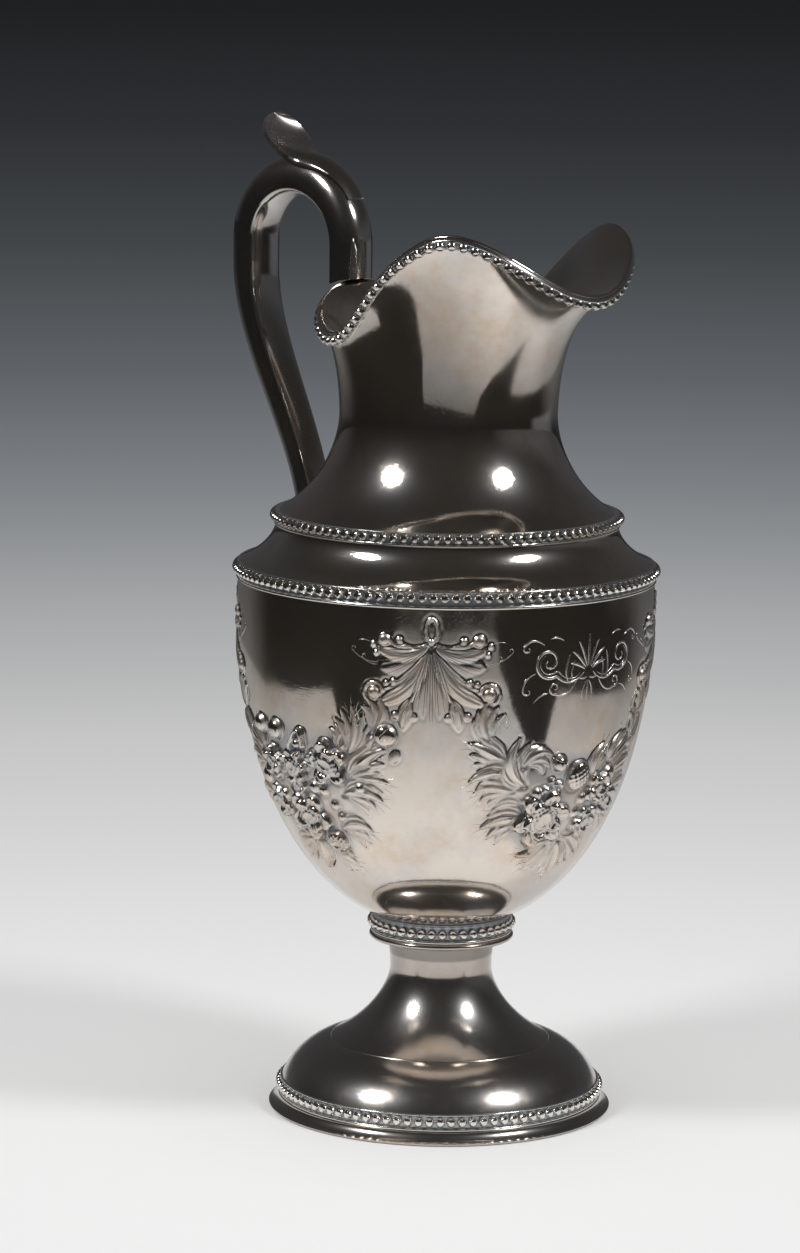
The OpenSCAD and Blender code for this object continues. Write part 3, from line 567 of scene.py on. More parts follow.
# a relief being worked: heights, and dark lines cut round its forms
class Work:
    def __init__(self):
        self.height = np.zeros((len(columnAcross), len(rowLength)))
        self.cut = np.zeros_like(self.height)

    # local millimetre coordinates round a point, for the part of the grid within reach
    def near(self, c, z, reach):
        i = np.flatnonzero(np.abs(columnAcross - c) * radiusAt(z) / unrolledR < reach * 1.3)
        j = np.flatnonzero(np.abs(rowLength - lengthAt(z)) < reach * 1.1)
        cols, rows = (slice(k[0], k[-1] + 1) if len(k) else slice(0) for k in (i, j))
        x = (columnAcross[cols][:, None] - c) * (rowR[rows] / unrolledR)[None]
        y = np.broadcast_to((rowLength[rows] - lengthAt(z))[None], x.shape)
        return (cols, rows), x, y

    # lay a form over what is there: d is the distance inside its outline, with a trench round it
    def lay(self, window, d, h, dark, soft=relief["edge"]):
        a = eased(d, -soft, soft)
        ground = self.height[window]
        moat = np.exp(-((d + relief["moatAt"]) / relief["moatW"]) ** 2) * (d < 0.3)
        ground = ground - relief["trench"] * moat * np.minimum(1, ground + 0.35)
        self.height[window] = ground * (1 - a) + np.maximum(h, relief["least"]) * a
        self.cut[window] = np.maximum(self.cut[window] * (1 - a), dark * moat)

    # raised dome, round or oval
    def ball(self, c, z, r, h, base=0.0, stretch=1.0, turn=0.0, stipple=0.0, dark=0.5):
        window, x, y = self.near(c, z, r * max(1, stretch) + 3)
        ct, st = math.cos(math.radians(turn)), math.sin(math.radians(turn))
        u, v = (x * ct + y * st) / stretch, -x * st + y * ct
        rho = np.hypot(u, v) / r
        rounded = np.sqrt(np.clip(1 - rho ** 2, 0, 1))
        dots = np.cos(u * pits["turn"]) * np.cos(v * pits["turn"]) * (rho < pits["to"])
        self.lay(window, (1 - rho) * r, base + h * rounded + pits["depth"] * stipple * dots, dark)

    # nearest place on a curved path: part along it 0 to 1, and signed distance to the side
    def besides(self, x, y, path):
        p, v = path[:-1], np.diff(path, axis=0)
        size = (v ** 2).sum(-1)
        x, y = x[..., None] - p[:, 0], y[..., None] - p[:, 1]
        t = np.clip((x * v[:, 0] + y * v[:, 1]) / size, 0, 1)
        dx, dy = x - t * v[:, 0], y - t * v[:, 1]
        gap = dx * dx + dy * dy
        k = gap.argmin(-1)
        t, dx, dy, gap = (np.take_along_axis(values, k[..., None], -1)[..., 0] for values in (t, dx, dy, gap))
        lengths = lengthsAlong(path)
        part = (lengths[k] + t * np.sqrt(size)[k]) / lengths[-1]
        turn = np.sign(v[k, 0] * dy - v[k, 1] * dx)
        return part, np.sqrt(gap) * np.where(turn == 0, 1, turn)

    # path through points [across, height], as a smooth curve in millimetres round its own middle
    def curve(self, pts, steps=22):
        pts = np.array(pts, float)
        c, z = pts.mean(0)
        flat = flattened(pts, c) - [0, lengthAt(z)]
        if len(flat) == 3:
            flat = bent(flat[0], 2 * flat[1] - (flat[0] + flat[2]) / 2, flat[2], steps)
        return c, z, flat

    # round wire along a path, tapering from w0 to w1
    def wire(self, pts, w0, w1, h, base=0.0, dark=0.35):
        c, z, path = self.curve(pts)
        window, x, y = self.near(c, z, np.abs(path).max() + w0 + w1 + 2)
        part, off = self.besides(x, y, path)
        w = w0 + (w1 - w0) * part
        rounded = np.sqrt(np.clip(1 - (off / w) ** 2, 0, 1))
        self.lay(window, w - np.abs(off), base + h * rounded, dark, relief["wireEdge"])

    # leaf along a path, widest at the part full: a sunk midrib with a groove each side, or flutes along it
    def leaf(self, pts, width, h, base, full, dark, flutes=0):
        c, z, path = self.curve(pts)
        window, x, y = self.near(c, z, np.abs(path).max() + width + 2)
        part, off = self.besides(x, y, path)
        form = leafForm
        rising = np.sin(np.pi / 2 * np.clip(part / full, 0, 1)) ** form["rise"]
        falling = np.clip((1 - part) / (1 - full), 0, 1) ** form["fall"]
        w = width / 2 * np.maximum(np.where(part < full, rising, falling), form["leastW"])
        v = np.clip(off / w, -1.4, 1.4)
        swell = form["rootH"] + (1 - form["rootH"]) * np.sin(np.pi * np.clip(part * 0.75 + 0.2, 0, 1))
        crown = (1 - np.clip(np.abs(v), 0, 1) ** form["sharp"]) ** form["crown"] * swell
        if flutes:
            fold = form["flute"] * np.cos(np.pi * flutes * v)
        else:
            groove = np.cos(np.pi * (part - form["forward"] * np.abs(v))) ** 6 * eased(np.abs(v), 0.08, 0.4)
            rib = np.exp(-(off / form["ribW"]) ** 2) * (part < form["ribTo"])
            fold = -form["groove"] * groove - form["rib"] * rib
        self.lay(window, w - np.abs(off), base + h * (crown + fold), dark)

    # acanthus tuft: fluted blades fanned out from one root, the middle one on top
    def tuft(self, pts, width, h, base):
        form = tuftForm
        p = np.array(pts, float)
        for k in (-2, 2, -1, 1, 0):
            a = math.radians(form["spread"] * k)
            turned = (p - p[0]) @ np.array([[math.cos(a), math.sin(a)], [-math.sin(a), math.cos(a)]])
            blade = p[0] + turned * (form["long"] - form["shorter"] * abs(k))
            bladeH = h * (1 - form["lower"] * abs(k))
            self.leaf(blade, width * form["wide"], bladeH, base, form["full"], form["dark"], form["flutes"])

    # open flower: rolled petals from the outside in, then a boss with a stippled ring and an eye
    def flower(self, c, z, r, h, petals, base, turn, eye=0.34, eyeShape=1.0, eyeTurn=0.0, rows=2):
        form = flowerForm
        for row in range(rows):
            reach = r * (1 - form["rowIn"] * row)
            lift = base + h * (form["lift"] + form["rowLift"] * row)
            for k in range(petals - row):
                a = math.radians(turn + 360 * (k + 0.5 * row) / (petals - row))
                self.petal(c, z, a, reach, form["petalW"] * reach / petals, h * form["petalH"], lift)
        self.ball(c, z, r * eye * form["bossR"], h * form["bossH"], base + h * form["bossAt"],
                  eyeShape, eyeTurn, form["stipple"], form["bossDark"])
        self.ball(c, z, r * eye * form["eyeR"], h * form["eyeH"], base + h * form["eyeAt"],
                  eyeShape * form["eyeLong"], eyeTurn, dark=form["eyeDark"])

    # one petal: an oval from the heart outwards whose edge is rolled up
    def petal(self, c, z, angle, reach, width, h, base):
        window, x, y = self.near(c, z, reach + 3)
        form = petalForm
        long, wide = form["long"] * reach, form["wide"] * width
        u = x * math.cos(angle) + y * math.sin(angle) - form["heart"] * reach
        v = -x * math.sin(angle) + y * math.cos(angle)
        q = (u / long) ** 2 + (v / wide) ** 2
        d = (1 - np.sqrt(q)) * min(long, wide)
        outerEnd = form["flat"] + (1 - form["flat"]) * np.clip(u / long, -1, 1)
        rolled = np.sqrt(np.clip(1 - q ** 2, 0, 1)) * outerEnd + form["edge"] * q * (q < 1)
        lines = form["line"] * np.cos(2 * np.pi * v / (form["linePitch"] * width)) * (q < 0.9)
        crease = form["crease"] * np.exp(-(v / form["creaseW"]) ** 2) * (u < 0)
        self.lay(window, d, base + h * rolled + lines - crease, form["dark"])


# pendant, the same on both sides: leaves [path, width, height, fullest part], wires [path, widths, height]
# and knobs [place, radius, height]; paths are [across from its middle, height]
pendantLeaves = [
    ([(1.5, 180.5), (10, 176.4), (19, 174.2)], 8.6, 0.34, 0.7),
    ([(0.6, 181), (2.6, 169), (3.0, 156)], 6.4, 0.20, 0.45),
    ([(7.4, 163.5), (9.1, 157.5), (10.0, 151.4)], 5.8, 1.15, 0.64),
    ([(1.4, 180), (7.6, 171), (16.6, 166.4)], 3.6, 1.15, 0.6),
    ([(1.0, 180.6), (7.0, 168.2), (20.0, 160.6)], 5.6, 1.35, 0.74),
    ([(1.0, 181.8), (9.5, 178.4), (19.8, 181.0)], 4.8, 1.20, 0.68),
    ([(18.5, 160.5), (21.5, 156.5), (21.4, 151)], 4.2, 0.80, 0.5),
]
pendantWires = [
    ([(0.8, 179), (4.2, 168.5), (8.2, 160.5)], 0.60, 0.45, 0.55),
    ([(1.2, 182.4), (6.5, 181.3), (10.6, 183.0)], 0.42, 0.40, 0.6),
    ([(8, 181.4), (13, 182), (15.5, 184.8)], 0.55, 0.40, 0.8),
]
# scroll round the side leaf's knob, in short bends
scroll = {"x": 20.6, "z": 164.6, "r": 3.5, "turns": (165, 110, 55, 0, -55), "w": 0.45, "h": 0.85}
for start, end in zip(scroll["turns"][:-1], scroll["turns"][1:]):
    bend = arcPoints(scroll["x"], scroll["z"], scroll["r"], start, end, 3)
    pendantWires.append((bend.tolist(), scroll["w"], scroll["w"], scroll["h"]))
pendantKnobs = [
    (20.6, 164.6, 2.3, 1.5), (13.4, 168.9, 1.1, 0.8), (16.0, 168.3, 0.9, 0.7), (6.3, 156.4, 1.3, 0.8),
    (12.9, 156.8, 1.4, 0.8), (11.2, 183.6, 1.3, 1.0), (16.6, 183.6, 2.2, 1.5), (20.6, 181.8, 1.0, 0.8),
    (19.6, 178.8, 0.9, 0.7),
]
pendantRing = {"z": 187.3, "w": 2.0, "h": 4.1, "wire": 0.48, "proud": 0.95, "bends": 8}


def pendant(work, c):
    for side in (-1, 1):
        for pts, width, h, full in pendantLeaves:
            work.leaf([(c + side * x, z) for x, z in pts], width, h, 0.0, full, dark=0.3)
        for pts, w0, w1, h in pendantWires:
            work.wire([(c + side * x, z) for x, z in pts], w0, w1, h)
        for x, z, r, h in pendantKnobs:
            work.ball(c + side * x, z, r, h, dark=0.35)
    ring = pendantRing
    turns = np.linspace(0, 2 * np.pi, 2 * ring["bends"] + 1)
    loop = np.stack([c + ring["w"] * np.sin(turns), ring["z"] + ring["h"] * np.cos(turns)], -1)
    for k in range(0, len(turns) - 1, 2):
        work.wire(loop[k:k + 3], ring["wire"], ring["wire"], ring["proud"], dark=0.6)


swag = {
    "reach": 44, "drop": 26, "top": 146, "width": 13, "h": 1.1, "leafH": 0.85, "leafBase": 0.15,
    "berryH": 0.75, "berryBase": 0.4,
}


# ground of a swag: a low cushion along its hanging line, and its leaves
def swagGround(work, leaves):
    u = np.linspace(-1, 1, 41)
    c, z, path = work.curve(np.stack([swag["reach"] * u, swag["top"] - swag["drop"] * (1 - u ** 2)], -1))
    window, x, y = work.near(c, z, 80)
    part, off = work.besides(x, y, path)
    swell = np.sin(np.pi * part)
    fat = swag["width"] * (0.25 + 0.75 * swell ** 1.5)
    work.height[window] += swag["h"] * np.exp(-(off / fat) ** 2 * 1.6) * eased(swell, 0.05, 0.6)
    for pts, width, h in leaves:
        work.tuft(pts, width, h * swag["leafH"], swag["leafBase"])


def berries(work, places):
    for c, z, r in places:
        work.ball(c, z, r, r * swag["berryH"], swag["berryBase"])


# leaves of the swag: root, middle and tip, width and height of the tuft
openLeaves = [
    ([(-37, 147), (-40, 154), (-38.5, 161)], 4.0, 1.2), ([(-31, 140), (-37, 143.5), (-44, 146.5)], 5.8, 1.7),
    ([(-28, 133), (-35, 136), (-43, 132.5)], 6.0, 1.8), ([(-27, 129), (-36, 130.5), (-41, 128)], 4.2, 1.2),
    ([(-22, 131), (-28, 138), (-25.5, 146.5)], 6.4, 2.1),
    ([(-24, 138), (-19, 142.5), (-12.5, 140.5)], 4.6, 1.8),
    ([(-21, 121.5), (-28, 123.5), (-34, 120.5)], 4.4, 1.3),
    ([(-20, 117), (-28, 118.5), (-37, 115)], 6.6, 1.9),
    ([(-1, 109), (-9, 105), (-18, 104.2)], 6.6, 1.9), ([(-4, 107), (-9, 101.5), (-13, 98.5)], 4.6, 1.2),
    ([(4, 109), (12, 107.5), (20, 101)], 7.6, 2.0), ([(2, 107), (5, 101), (4, 94)], 5.4, 1.6),
    ([(11, 131), (10.5, 137), (14.5, 142)], 5.2, 1.7), ([(20, 136), (26, 140.5), (33, 142.5)], 7.4, 2.2),
    ([(22, 131), (29, 134.5), (37, 134)], 6.4, 1.9), ([(26, 124), (33, 126.5), (40, 124.5)], 6.0, 1.6),
    ([(32, 140), (37.5, 146), (38.5, 153.5)], 6.0, 1.7), ([(38, 151), (41.5, 156.5), (39.5, 162)], 4.2, 1.2),
    ([(24, 116), (31, 116), (37, 111.5)], 6.2, 1.6),
]


# swag with a big open flower, a strawberry and a rosebud
def openSwag(work):
    swagGround(work, openLeaves)
    work.flower(23.5, 121, 7.0, 2.9, petals=5, base=0.5, turn=20)
    work.flower(13.5, 114.5, 6.4, 2.7, petals=5, base=0.5, turn=50)
    berries(work, [(-16.4, 127.2, 2.7), (-21, 125, 2.0), (21, 131, 3.2), (7.5, 123.5, 2.4),
                   (5.5, 118.5, 2.2)])
    work.flower(-9.6, 128.2, 4.9, 2.3, petals=5, base=0.4, turn=30)
    work.ball(-7.8, 138, 3.1, 2.6, 0.3)
    work.ball(2, 132.6, 4.7, 3.0, 0.6, stretch=1.22, turn=68, stipple=0.20)
    work.flower(14.8, 127, 6.2, 3.4, petals=4, base=0.6, turn=35, eye=0.30, rows=3)
    work.flower(-12, 118, 11.2, 4.0, petals=6, base=0.5, turn=12, eye=0.36, eyeShape=1.12, eyeTurn=70)


# leaves of the swag: root, middle and tip, width and height of the tuft
roseLeaves = [
    ([(34, 139), (35.5, 145), (40, 149)], 3.4, 1.2), ([(26, 131.5), (32, 138.5), (39.5, 142.5)], 6.6, 2.0),
    ([(21.5, 141.5), (26, 146), (24.5, 151.5)], 6.0, 1.8), ([(27, 142), (30, 149), (29.5, 157.5)], 3.8, 1.2),
    ([(25, 130), (33, 132.5), (41, 131)], 4.0, 1.2), ([(23, 126), (31, 127.5), (38, 124)], 5.8, 1.7),
    ([(37, 150), (41, 156), (39, 162)], 4.2, 1.2), ([(2, 107), (1, 101), (-4, 95.5)], 7.4, 1.9),
    ([(8, 104), (14, 102), (20, 98)], 5.4, 1.6), ([(18, 112), (26, 114.5), (32, 111)], 6.0, 1.5),
    ([(-20, 136), (-26, 140.5), (-33, 142.5)], 7.4, 2.1), ([(-22, 131), (-29, 134.5), (-38, 132)], 6.4, 1.9),
    ([(-31, 140), (-37, 145), (-42, 147)], 6.0, 1.7), ([(-38, 149), (-41, 155), (-39, 161)], 4.2, 1.2),
    ([(-24, 120), (-31, 121.5), (-38, 117.5)], 6.4, 1.7), ([(-3, 106), (-11, 104), (-17, 100.5)], 6.0, 1.6),
]


# swag with an open rose, a stippled bloom and hanging buds
def roseSwag(work):
    swagGround(work, roseLeaves)
    work.ball(42.2, 149.2, 4.3, 3.2, 0.2)
    work.ball(45.5, 141.5, 1.9, 1.1, 0.0, stretch=1.4, turn=60)
    work.ball(30.5, 129, 1.9, 1.7, 0.4)
    work.flower(-15, 133.5, 6.6, 3.0, petals=5, base=0.5, turn=10)
    work.flower(-15.5, 119, 7.0, 3.0, petals=5, base=0.5, turn=40)
    berries(work, [(9, 127, 2.6), (13.4, 126.4, 2.2), (-23, 127, 3.2), (18, 121.5, 2.2), (20, 117, 1.9),
                   (-9, 111, 2.3)])
    work.flower(-1.2, 126.4, 5.2, 2.4, petals=5, base=0.4, turn=5)
    work.ball(-9.4, 146, 3.8, 2.7, 0.3)
    work.ball(-20.6, 146.5, 3.4, 2.4, 0.2)
    work.wire([(-2, 140), (4.5, 147.5), (6, 141.5)], 1.2, 0.8, 2.1, 0.3)
    work.ball(3, 142.4, 1.9, 2.0, 0.4)
    work.flower(2.5, 116, 9.6, 3.6, petals=5, base=0.5, turn=-15, eye=0.26, eyeShape=1.6, eyeTurn=10)
    work.ball(13.6, 107, 4.6, 2.6, 0.5, stipple=0.16)
    work.ball(13.9, 106.8, 1.7, -0.9, 2.8, stretch=1.3, turn=15, dark=0.8)
    work.flower(-1, 134, 6.6, 3.2, petals=7, base=0.6, turn=0, eye=0.42, eyeShape=1.2, eyeTurn=15, rows=1)
    work.flower(17.2, 137, 8.8, 3.8, petals=5, base=0.5, turn=25, eye=0.34, eyeShape=1.5, eyeTurn=-20)


# blur of a grid by a round bell of the given width in cells
def blurred(g, cells):
    pad = int(4 * cells)
    p = np.pad(g, pad, mode="edge")
    fx, fy = np.fft.fftfreq(p.shape[0])[:, None], np.fft.rfftfreq(p.shape[1])[None]
    bell = np.exp(-2 * (np.pi * cells) ** 2 * (fx ** 2 + fy ** 2))
    return np.fft.irfft2(np.fft.rfft2(p) * bell, s=p.shape)[pad:-pad, pad:-pad]


# tarnish sits in recesses, on the ground round the forms and in the cut lines; low forms are satin
aged = {
    "soften": 0.55, "recessBlur": 5.0, "recess": 0.85, "fieldBlur": 8.0, "field": (0.06, 0.7),
    "groundBlur": 9.0, "ground": 0.55, "near": (0.15, 0.9), "low": (0.1, 0.8), "cutBlur": 0.8, "cut": 0.75,
    "most": 0.95, "satin": (0.12, 0.5), "rubbed": (0.9, 2.2), "rub": 0.85,
}
works = []
for design in (openSwag, roseSwag):
    work = Work()
    for c in (-quarter, quarter):
        pendant(work, c)
    design(work)
    h = blurred(work.height, aged["soften"])
    recess = np.clip((blurred(h, aged["recessBlur"]) - h) * aged["recess"], 0, 1)
    recess = recess * eased(blurred(h, aged["fieldBlur"]), *aged["field"])
    around = eased(blurred(h, aged["groundBlur"]), *aged["near"]) * (1 - eased(h, *aged["low"]))
    cuts = aged["cut"] * blurred(work.cut, aged["cutBlur"])
    work.height = h
    work.stain = np.clip(np.maximum(np.maximum(recess, aged["ground"] * around), cuts), 0, aged["most"])
    work.satin = eased(h, *aged["satin"]) * (1 - aged["rub"] * eased(h, *aged["rubbed"]))
    works.append(work)


# every so many places of a row, and its last one
def thinned(count):
    return np.r_[np.arange(0, count - 1, relief["backStep"]), count - 1]


# skin of one quarter: face at the relief's height, back inside the bowl's surface, edges closed by wide faces
def skinMesh(work, middle):
    turn = math.radians(middle) + columnAcross / unrolledR
    aboveSeat, belowBand = rowZ - level["bowl"], level["shoulderBand"] - rowZ
    fade = eased(aboveSeat, *relief["fadeLow"]) * eased(belowBand, *relief["fadeHigh"])
    front = turnedRound(rowCurve + (work.height * fade)[..., None] * surfaceOut, turn)
    normal = unit(np.cross(np.gradient(front, axis=0), np.gradient(front, axis=1)))
    front, normal, turn = front[1:-1], normal[1:-1], turn[1:-1]
    n, m = front.shape[:2]
    i, j = thinned(n), thinned(m)
    backLine = rowCurve - bowl["skinBack"] * surfaceOut
    lowest, highest = level["bowl"] + relief["inset"], level["shoulderBand"] - relief["inset"]
    backLine[:, 1] = np.clip(backLine[:, 1], lowest, highest)
    back = turnedRound(backLine[j], turn[i])
    frontId = np.arange(n * m).reshape(n, m)
    backId = n * m + np.arange(len(i) * len(j)).reshape(len(i), len(j))
    faces = [gridQuads(n, m), gridQuads(len(i), len(j))[:, ::-1] + n * m]
    # along each edge one wide face joins a stretch of the front's edge to one step of the back's
    for marks, frontEdge, backEdge, order in [
            (i, frontId[:, 0], backId[:, 0], -1), (i, frontId[:, -1], backId[:, -1], 1),
            (j, frontId[0], backId[0], 1), (j, frontId[-1], backId[-1], -1)]:
        for k in range(len(marks) - 1):
            loop = np.r_[frontEdge[marks[k]:marks[k + 1] + 1], backEdge[k + 1], backEdge[k]]
            faces.append(loop[None, ::order])
    points = np.vstack([front.reshape(-1, 3), back.reshape(-1, 3)])
    normals = np.vstack([normal.reshape(-1, 3), -turnedRound(surfaceOut[j], turn[i]).reshape(-1, 3)])
    stain, satin = (np.r_[tone[1:-1].ravel(), np.zeros(backId.size)] for tone in (work.stain, work.satin))
    return points, faces, stain, satin, normals


for k in range(4):
    points, faces, stain, satin, normals = skinMesh(works[k % 2], relief["swagAngle"] - 90 * k)
    addPiece("chasedSkin%d" % (k + 1), points, faces, chasedSilver,
             ["swag_%d" % (k + 1), "pendant_%d" % (k + 1)], tarnishAndShade=stain, satin=satin, normals=normals)
print("stage: bowl chased")

# engraving: tapered strokes laid on the skin, each a thin closed blade along a path [across, height]
cutting = {
    "steps": 34, "proud": 0.10, "flush": 0.035, "sunk": 0.05, "root": 0.25, "fanW": 0.55, "hairW": 0.32,
    "hairs": 5.2, "flourishAt": (1.1, 174.0),
}


# a bend [p, q, r] that runs out into a spiral [x, y, first radius, last radius, first angle, last angle]
def curled(bend, coil):
    return np.vstack([bent(*bend), coiled(*coil)[1:]])


def coiled(x, y, r0, r1, a0, a1, steps=40):
    return arcPoints(x, y, np.linspace(r0, r1, steps), a0, a1, steps)


# point on the skin at arc across, length along the outline and lift above the relief
def onSkin(work, middle, across, length, lift):
    i = np.clip((across - columnAcross[0]) / stepAcross, 0, len(columnAcross) - 1.001)
    j = np.clip(np.interp(length, rowLength, np.arange(len(rowLength))), 0, len(rowLength) - 1.001)
    i0, j0 = i.astype(int), j.astype(int)
    fi, fj = i - i0, j - j0
    h = work.height
    low = h[i0, j0] * (1 - fi) + h[i0 + 1, j0] * fi
    high = h[i0, j0 + 1] * (1 - fi) + h[i0 + 1, j0 + 1] * fi
    top = low * (1 - fj) + high * fj + lift
    r = np.interp(length, rowLength, rowR) + top * np.interp(length, rowLength, surfaceOut[:, 0])
    z = np.interp(length, rowLength, rowZ) + top * np.interp(length, rowLength, surfaceOut[:, 1])
    t = math.radians(middle) + across / unrolledR
    return np.stack([r * np.cos(t), r * np.sin(t), z], -1)


def strokeMesh(work, middle, strokes, proud):
    points, faces, base = [], [], 0
    taper = 0.06 + 0.94 * np.sin(np.pi * np.linspace(0.04, 0.96, cutting["steps"])) ** 0.7
    for path, width in strokes:
        q = resampled(flattened(path), cutting["steps"])
        edge = -rightOf(tangents(q)) * (width / 2 * taper)[:, None]
        section = []
        for shift, lift in ((1, -cutting["sunk"]), (0, proud), (-1, -cutting["sunk"]), (0, -cutting["root"])):
            at = q + shift * edge
            across = at[:, 0] * unrolledR / np.interp(at[:, 1], rowLength, rowR)
            section.append(onSkin(work, middle, across, at[:, 1], lift))
        tube, tubeFaces = tubeMesh(np.stack(section, 1))
        points.append(tube)
        faces += [f + base for f in tubeFaces]
        base += len(tube)
    return np.vstack(points), faces


# flourish about its centre: a palmette of seven blades between two level scrolls
# one half: curls [bend, spiral, width], bends [bend, width] and blades [tilt, reach]
flourishCurls = [
    (((2.2, -3.6), (8, -9.5), (14.03, -4.03)), (17.3, 1.0, 6.0, 0.9, -123, 400), 1.8),
    (((4.2, -3.9), (8.6, -7.4), (13.2, -2.6)), (17.3, 1.0, 4.6, 3.0, -139, 60), 0.6),
    (((5.5, -6.6), (9, -12.4), (13.98, -10.52)), (14.6, -8.2, 2.4, 0.5, -105, 300), 1.4),
    (((22.6, -2.6), (27.4, -4), (27.2, -8.6)), (25.4, -8.8, 1.8, 0.4, 6, -250), 1.2),
    (((19.5, 7.4), (24, 10.8), (27.1, 7.2)), (25.8, 6.2, 1.7, 0.4, 38, -240), 1.2),
]
flourishBends = [
    (((9, -6.4), (11.2, -2.0), (8.8, 3.2)), 1.4), (((7, -6.0), (8.4, -2.4), (6.4, 1.0)), 1.0),
    (((17.5, -10.0), (21, -10.2), (23, -13.2)), 1.0), (((11.5, 8.4), (14, 10.4), (17, 9.4)), 1.0),
    (((0.6, -5.4), (2.6, -6.2), (4.4, -5.2)), 1.2), (((0.5, -6.8), (3.2, -9.6), (2.0, -13.2)), 1.2),
]
flourishMiddle = [(((0, -1.4), (0, 4), (0, 9.8)), 1.8), (((0, -6.4), (0, -9.5), (0, -13.6)), 1.2)]
flourishBlades = [(20, 11.6), (42, 10.2), (66, 8.0)]
bladeW = 1.7


def flourish(centre):
    half = [(curled(bend, coil), width) for bend, coil, width in flourishCurls]
    half += [(bent(*bend), width) for bend, width in flourishBends]
    for tilt, reach in flourishBlades:
        way = np.array([math.sin(math.radians(tilt)), math.cos(math.radians(tilt))])
        blade = bent(way * 1.8 + [0, -3.2], way * reach * 0.7 + [0, -2.2], way * reach + [0.9, -3.4])
        half.append((blade, bladeW))
    strokes = [(path * [side, 1] + centre, width) for side in (-1, 1) for path, width in half]
    return strokes + [(bent(*bend) + centre, width) for bend, width in flourishMiddle]


# strokes at the two pendants that bound a quarter, mirrored
def byPendants(half):
    return [(path * [side, 1] + [-side * quarter, 0], width) for side in (-1, 1) for path, width in half]


# fine tarnished lines of a pendant's two halves: its fan, its side fields, and along its blades
fanEnds = [(0.5, 154.6), (1.7, 160), (2.8, 156.6), (3.9, 163), (4.7, 158.6), (6.2, 164.5)]
fieldLines = 5
bladeLines = [
    ((1.2, 180), (6.4, 168.6), (16, 161.8)), ((1.6, 179.8), (7.4, 169.6), (18, 162.2)),
    ((2.0, 179.6), (7.6, 171.6), (15.6, 167)), ((1, 179), (4.4, 167), (8.8, 154)),
    ((1.4, 179), (5.6, 168), (10, 156)), ((1.5, 182), (9.2, 179.4), (17.4, 180.6)),
    ((1.5, 181.6), (9.2, 177.8), (17.6, 179.4)),
]


def fanLines():
    bends = [((0.2 + 0.14 * k, 181), (0.45 + 0.62 * k, 170 + k), end) for k, end in enumerate(fanEnds)]
    bends += [((1.6, 181.2 - 0.12 * k), (8.6, 178.3 - 1.15 * k), (18.9 - 0.28 * k ** 1.6, 177.6 - 1.55 * k))
              for k in range(fieldLines)]
    return byPendants([(bent(*bend), cutting["fanW"]) for bend in bends + bladeLines])


# tendrils beside the pendants, curls by the swag and hair strokes past the tips of its leaves
tendrilHalf = [
    (curled(((18.6, 175.4), (24.5, 175.2), (28.6, 179.2)), (27.9, 179.9, 1.0, 0.3, -45, 250)), 0.5),
    (curled(((18.9, 174.6), (22.5, 174.4), (24.6, 176.9)), (24.0, 177.4, 0.8, 0.3, -40, 240)), 0.45),
    (bent((21.4, 182.4), (24, 183.6), (26, 182.8)), 0.4),
    (coiled(27, 153, 1.9, 0.4, 200, -220), 0.45),
    (curled(((24, 160), (27.6, 157), (28.6, 154)), (27.0, 153.6, 1.6, 0.4, 15, -250)), 0.45),
    (bent((23.5, 157), (26, 152), (25, 147)), 0.4),
    (bent((12.5, 150), (15.5, 147), (15, 142.5)), 0.4),
    (coiled(33, 148, 1.5, 0.4, 160, -200), 0.4),
]


def tendrils(leaves):
    strokes = byPendants(tendrilHalf)
    for pts, width, h in leaves:
        p = np.array(pts, float)
        ahead = unit(p[2] - p[1])
        aside = -rightOf(ahead)
        for k in (-1, 0, 1):
            root = p[2] + aside * k * 1.6 - ahead * (0.2 + 0.9 * abs(k))
            reach = cutting["hairs"] - 0.9 * abs(k)
            pull = root + ahead * reach * 0.6 + aside * k * 0.35
            tip = root + ahead * reach + aside * k * 1.5
            strokes.append((bent(root, pull, tip), cutting["hairW"]))
    return strokes


for k in range(4):
    work, middle = works[k % 2], relief["swagAngle"] - 90 * k
    strokes = tendrils((openLeaves, roseLeaves)[k % 2])
    if k == 0:
        strokes += flourish(cutting["flourishAt"])
    points, faces = strokeMesh(work, middle, strokes, cutting["proud"])
    addPiece("engraving%d" % (k + 1), points, faces, cutSilver)
    points, faces = strokeMesh(work, middle, fanLines(), cutting["flush"])
    addPiece("fanLines%d" % (k + 1), points, faces, lineSilver)
print("stage: bowl engraved")

# shoulder, neck and mouth
shoulder = {"r": 74.55, "ringR": girth["neckRing"], "power": 1.65}
shelf = flare(shoulder["ringR"], level["neckBand"], shoulder["r"], level["shoulder"],
              shoulder["power"], 40)[::-1]
turnedPiece("shoulder", "shoulder", sheetLoop(shelf), bodySilver)

mouth = {
    "r": 54.5, "reach": 9.4, "oval": 6.4, "pinch": 1.7, "rise": 13.4, "wave": 12.1, "saddle": 3.4, "dip": 3.8,
    "tuck": 2.5, "lipTuck": (0.15, 0.6), "backTuck": (1.3, 1.9),
    "lift": 3.6, "sideLift": (1.05, 1.5), "backFall": (1.9, 3.0), "fall": 0.8,
}
neck = {
    "waistR": 39.2, "baseR": 60.4, "power": 1.8, "endAngle": 70, "steps": 320, "lowSteps": 30,
    "highSteps": 44, "capFlat": 0.5,
    "film": 0.30, "filmFrom": (-0.50, -0.33), "filmTo": (1.0, 1.6), "filmUp": (255, 272),
}


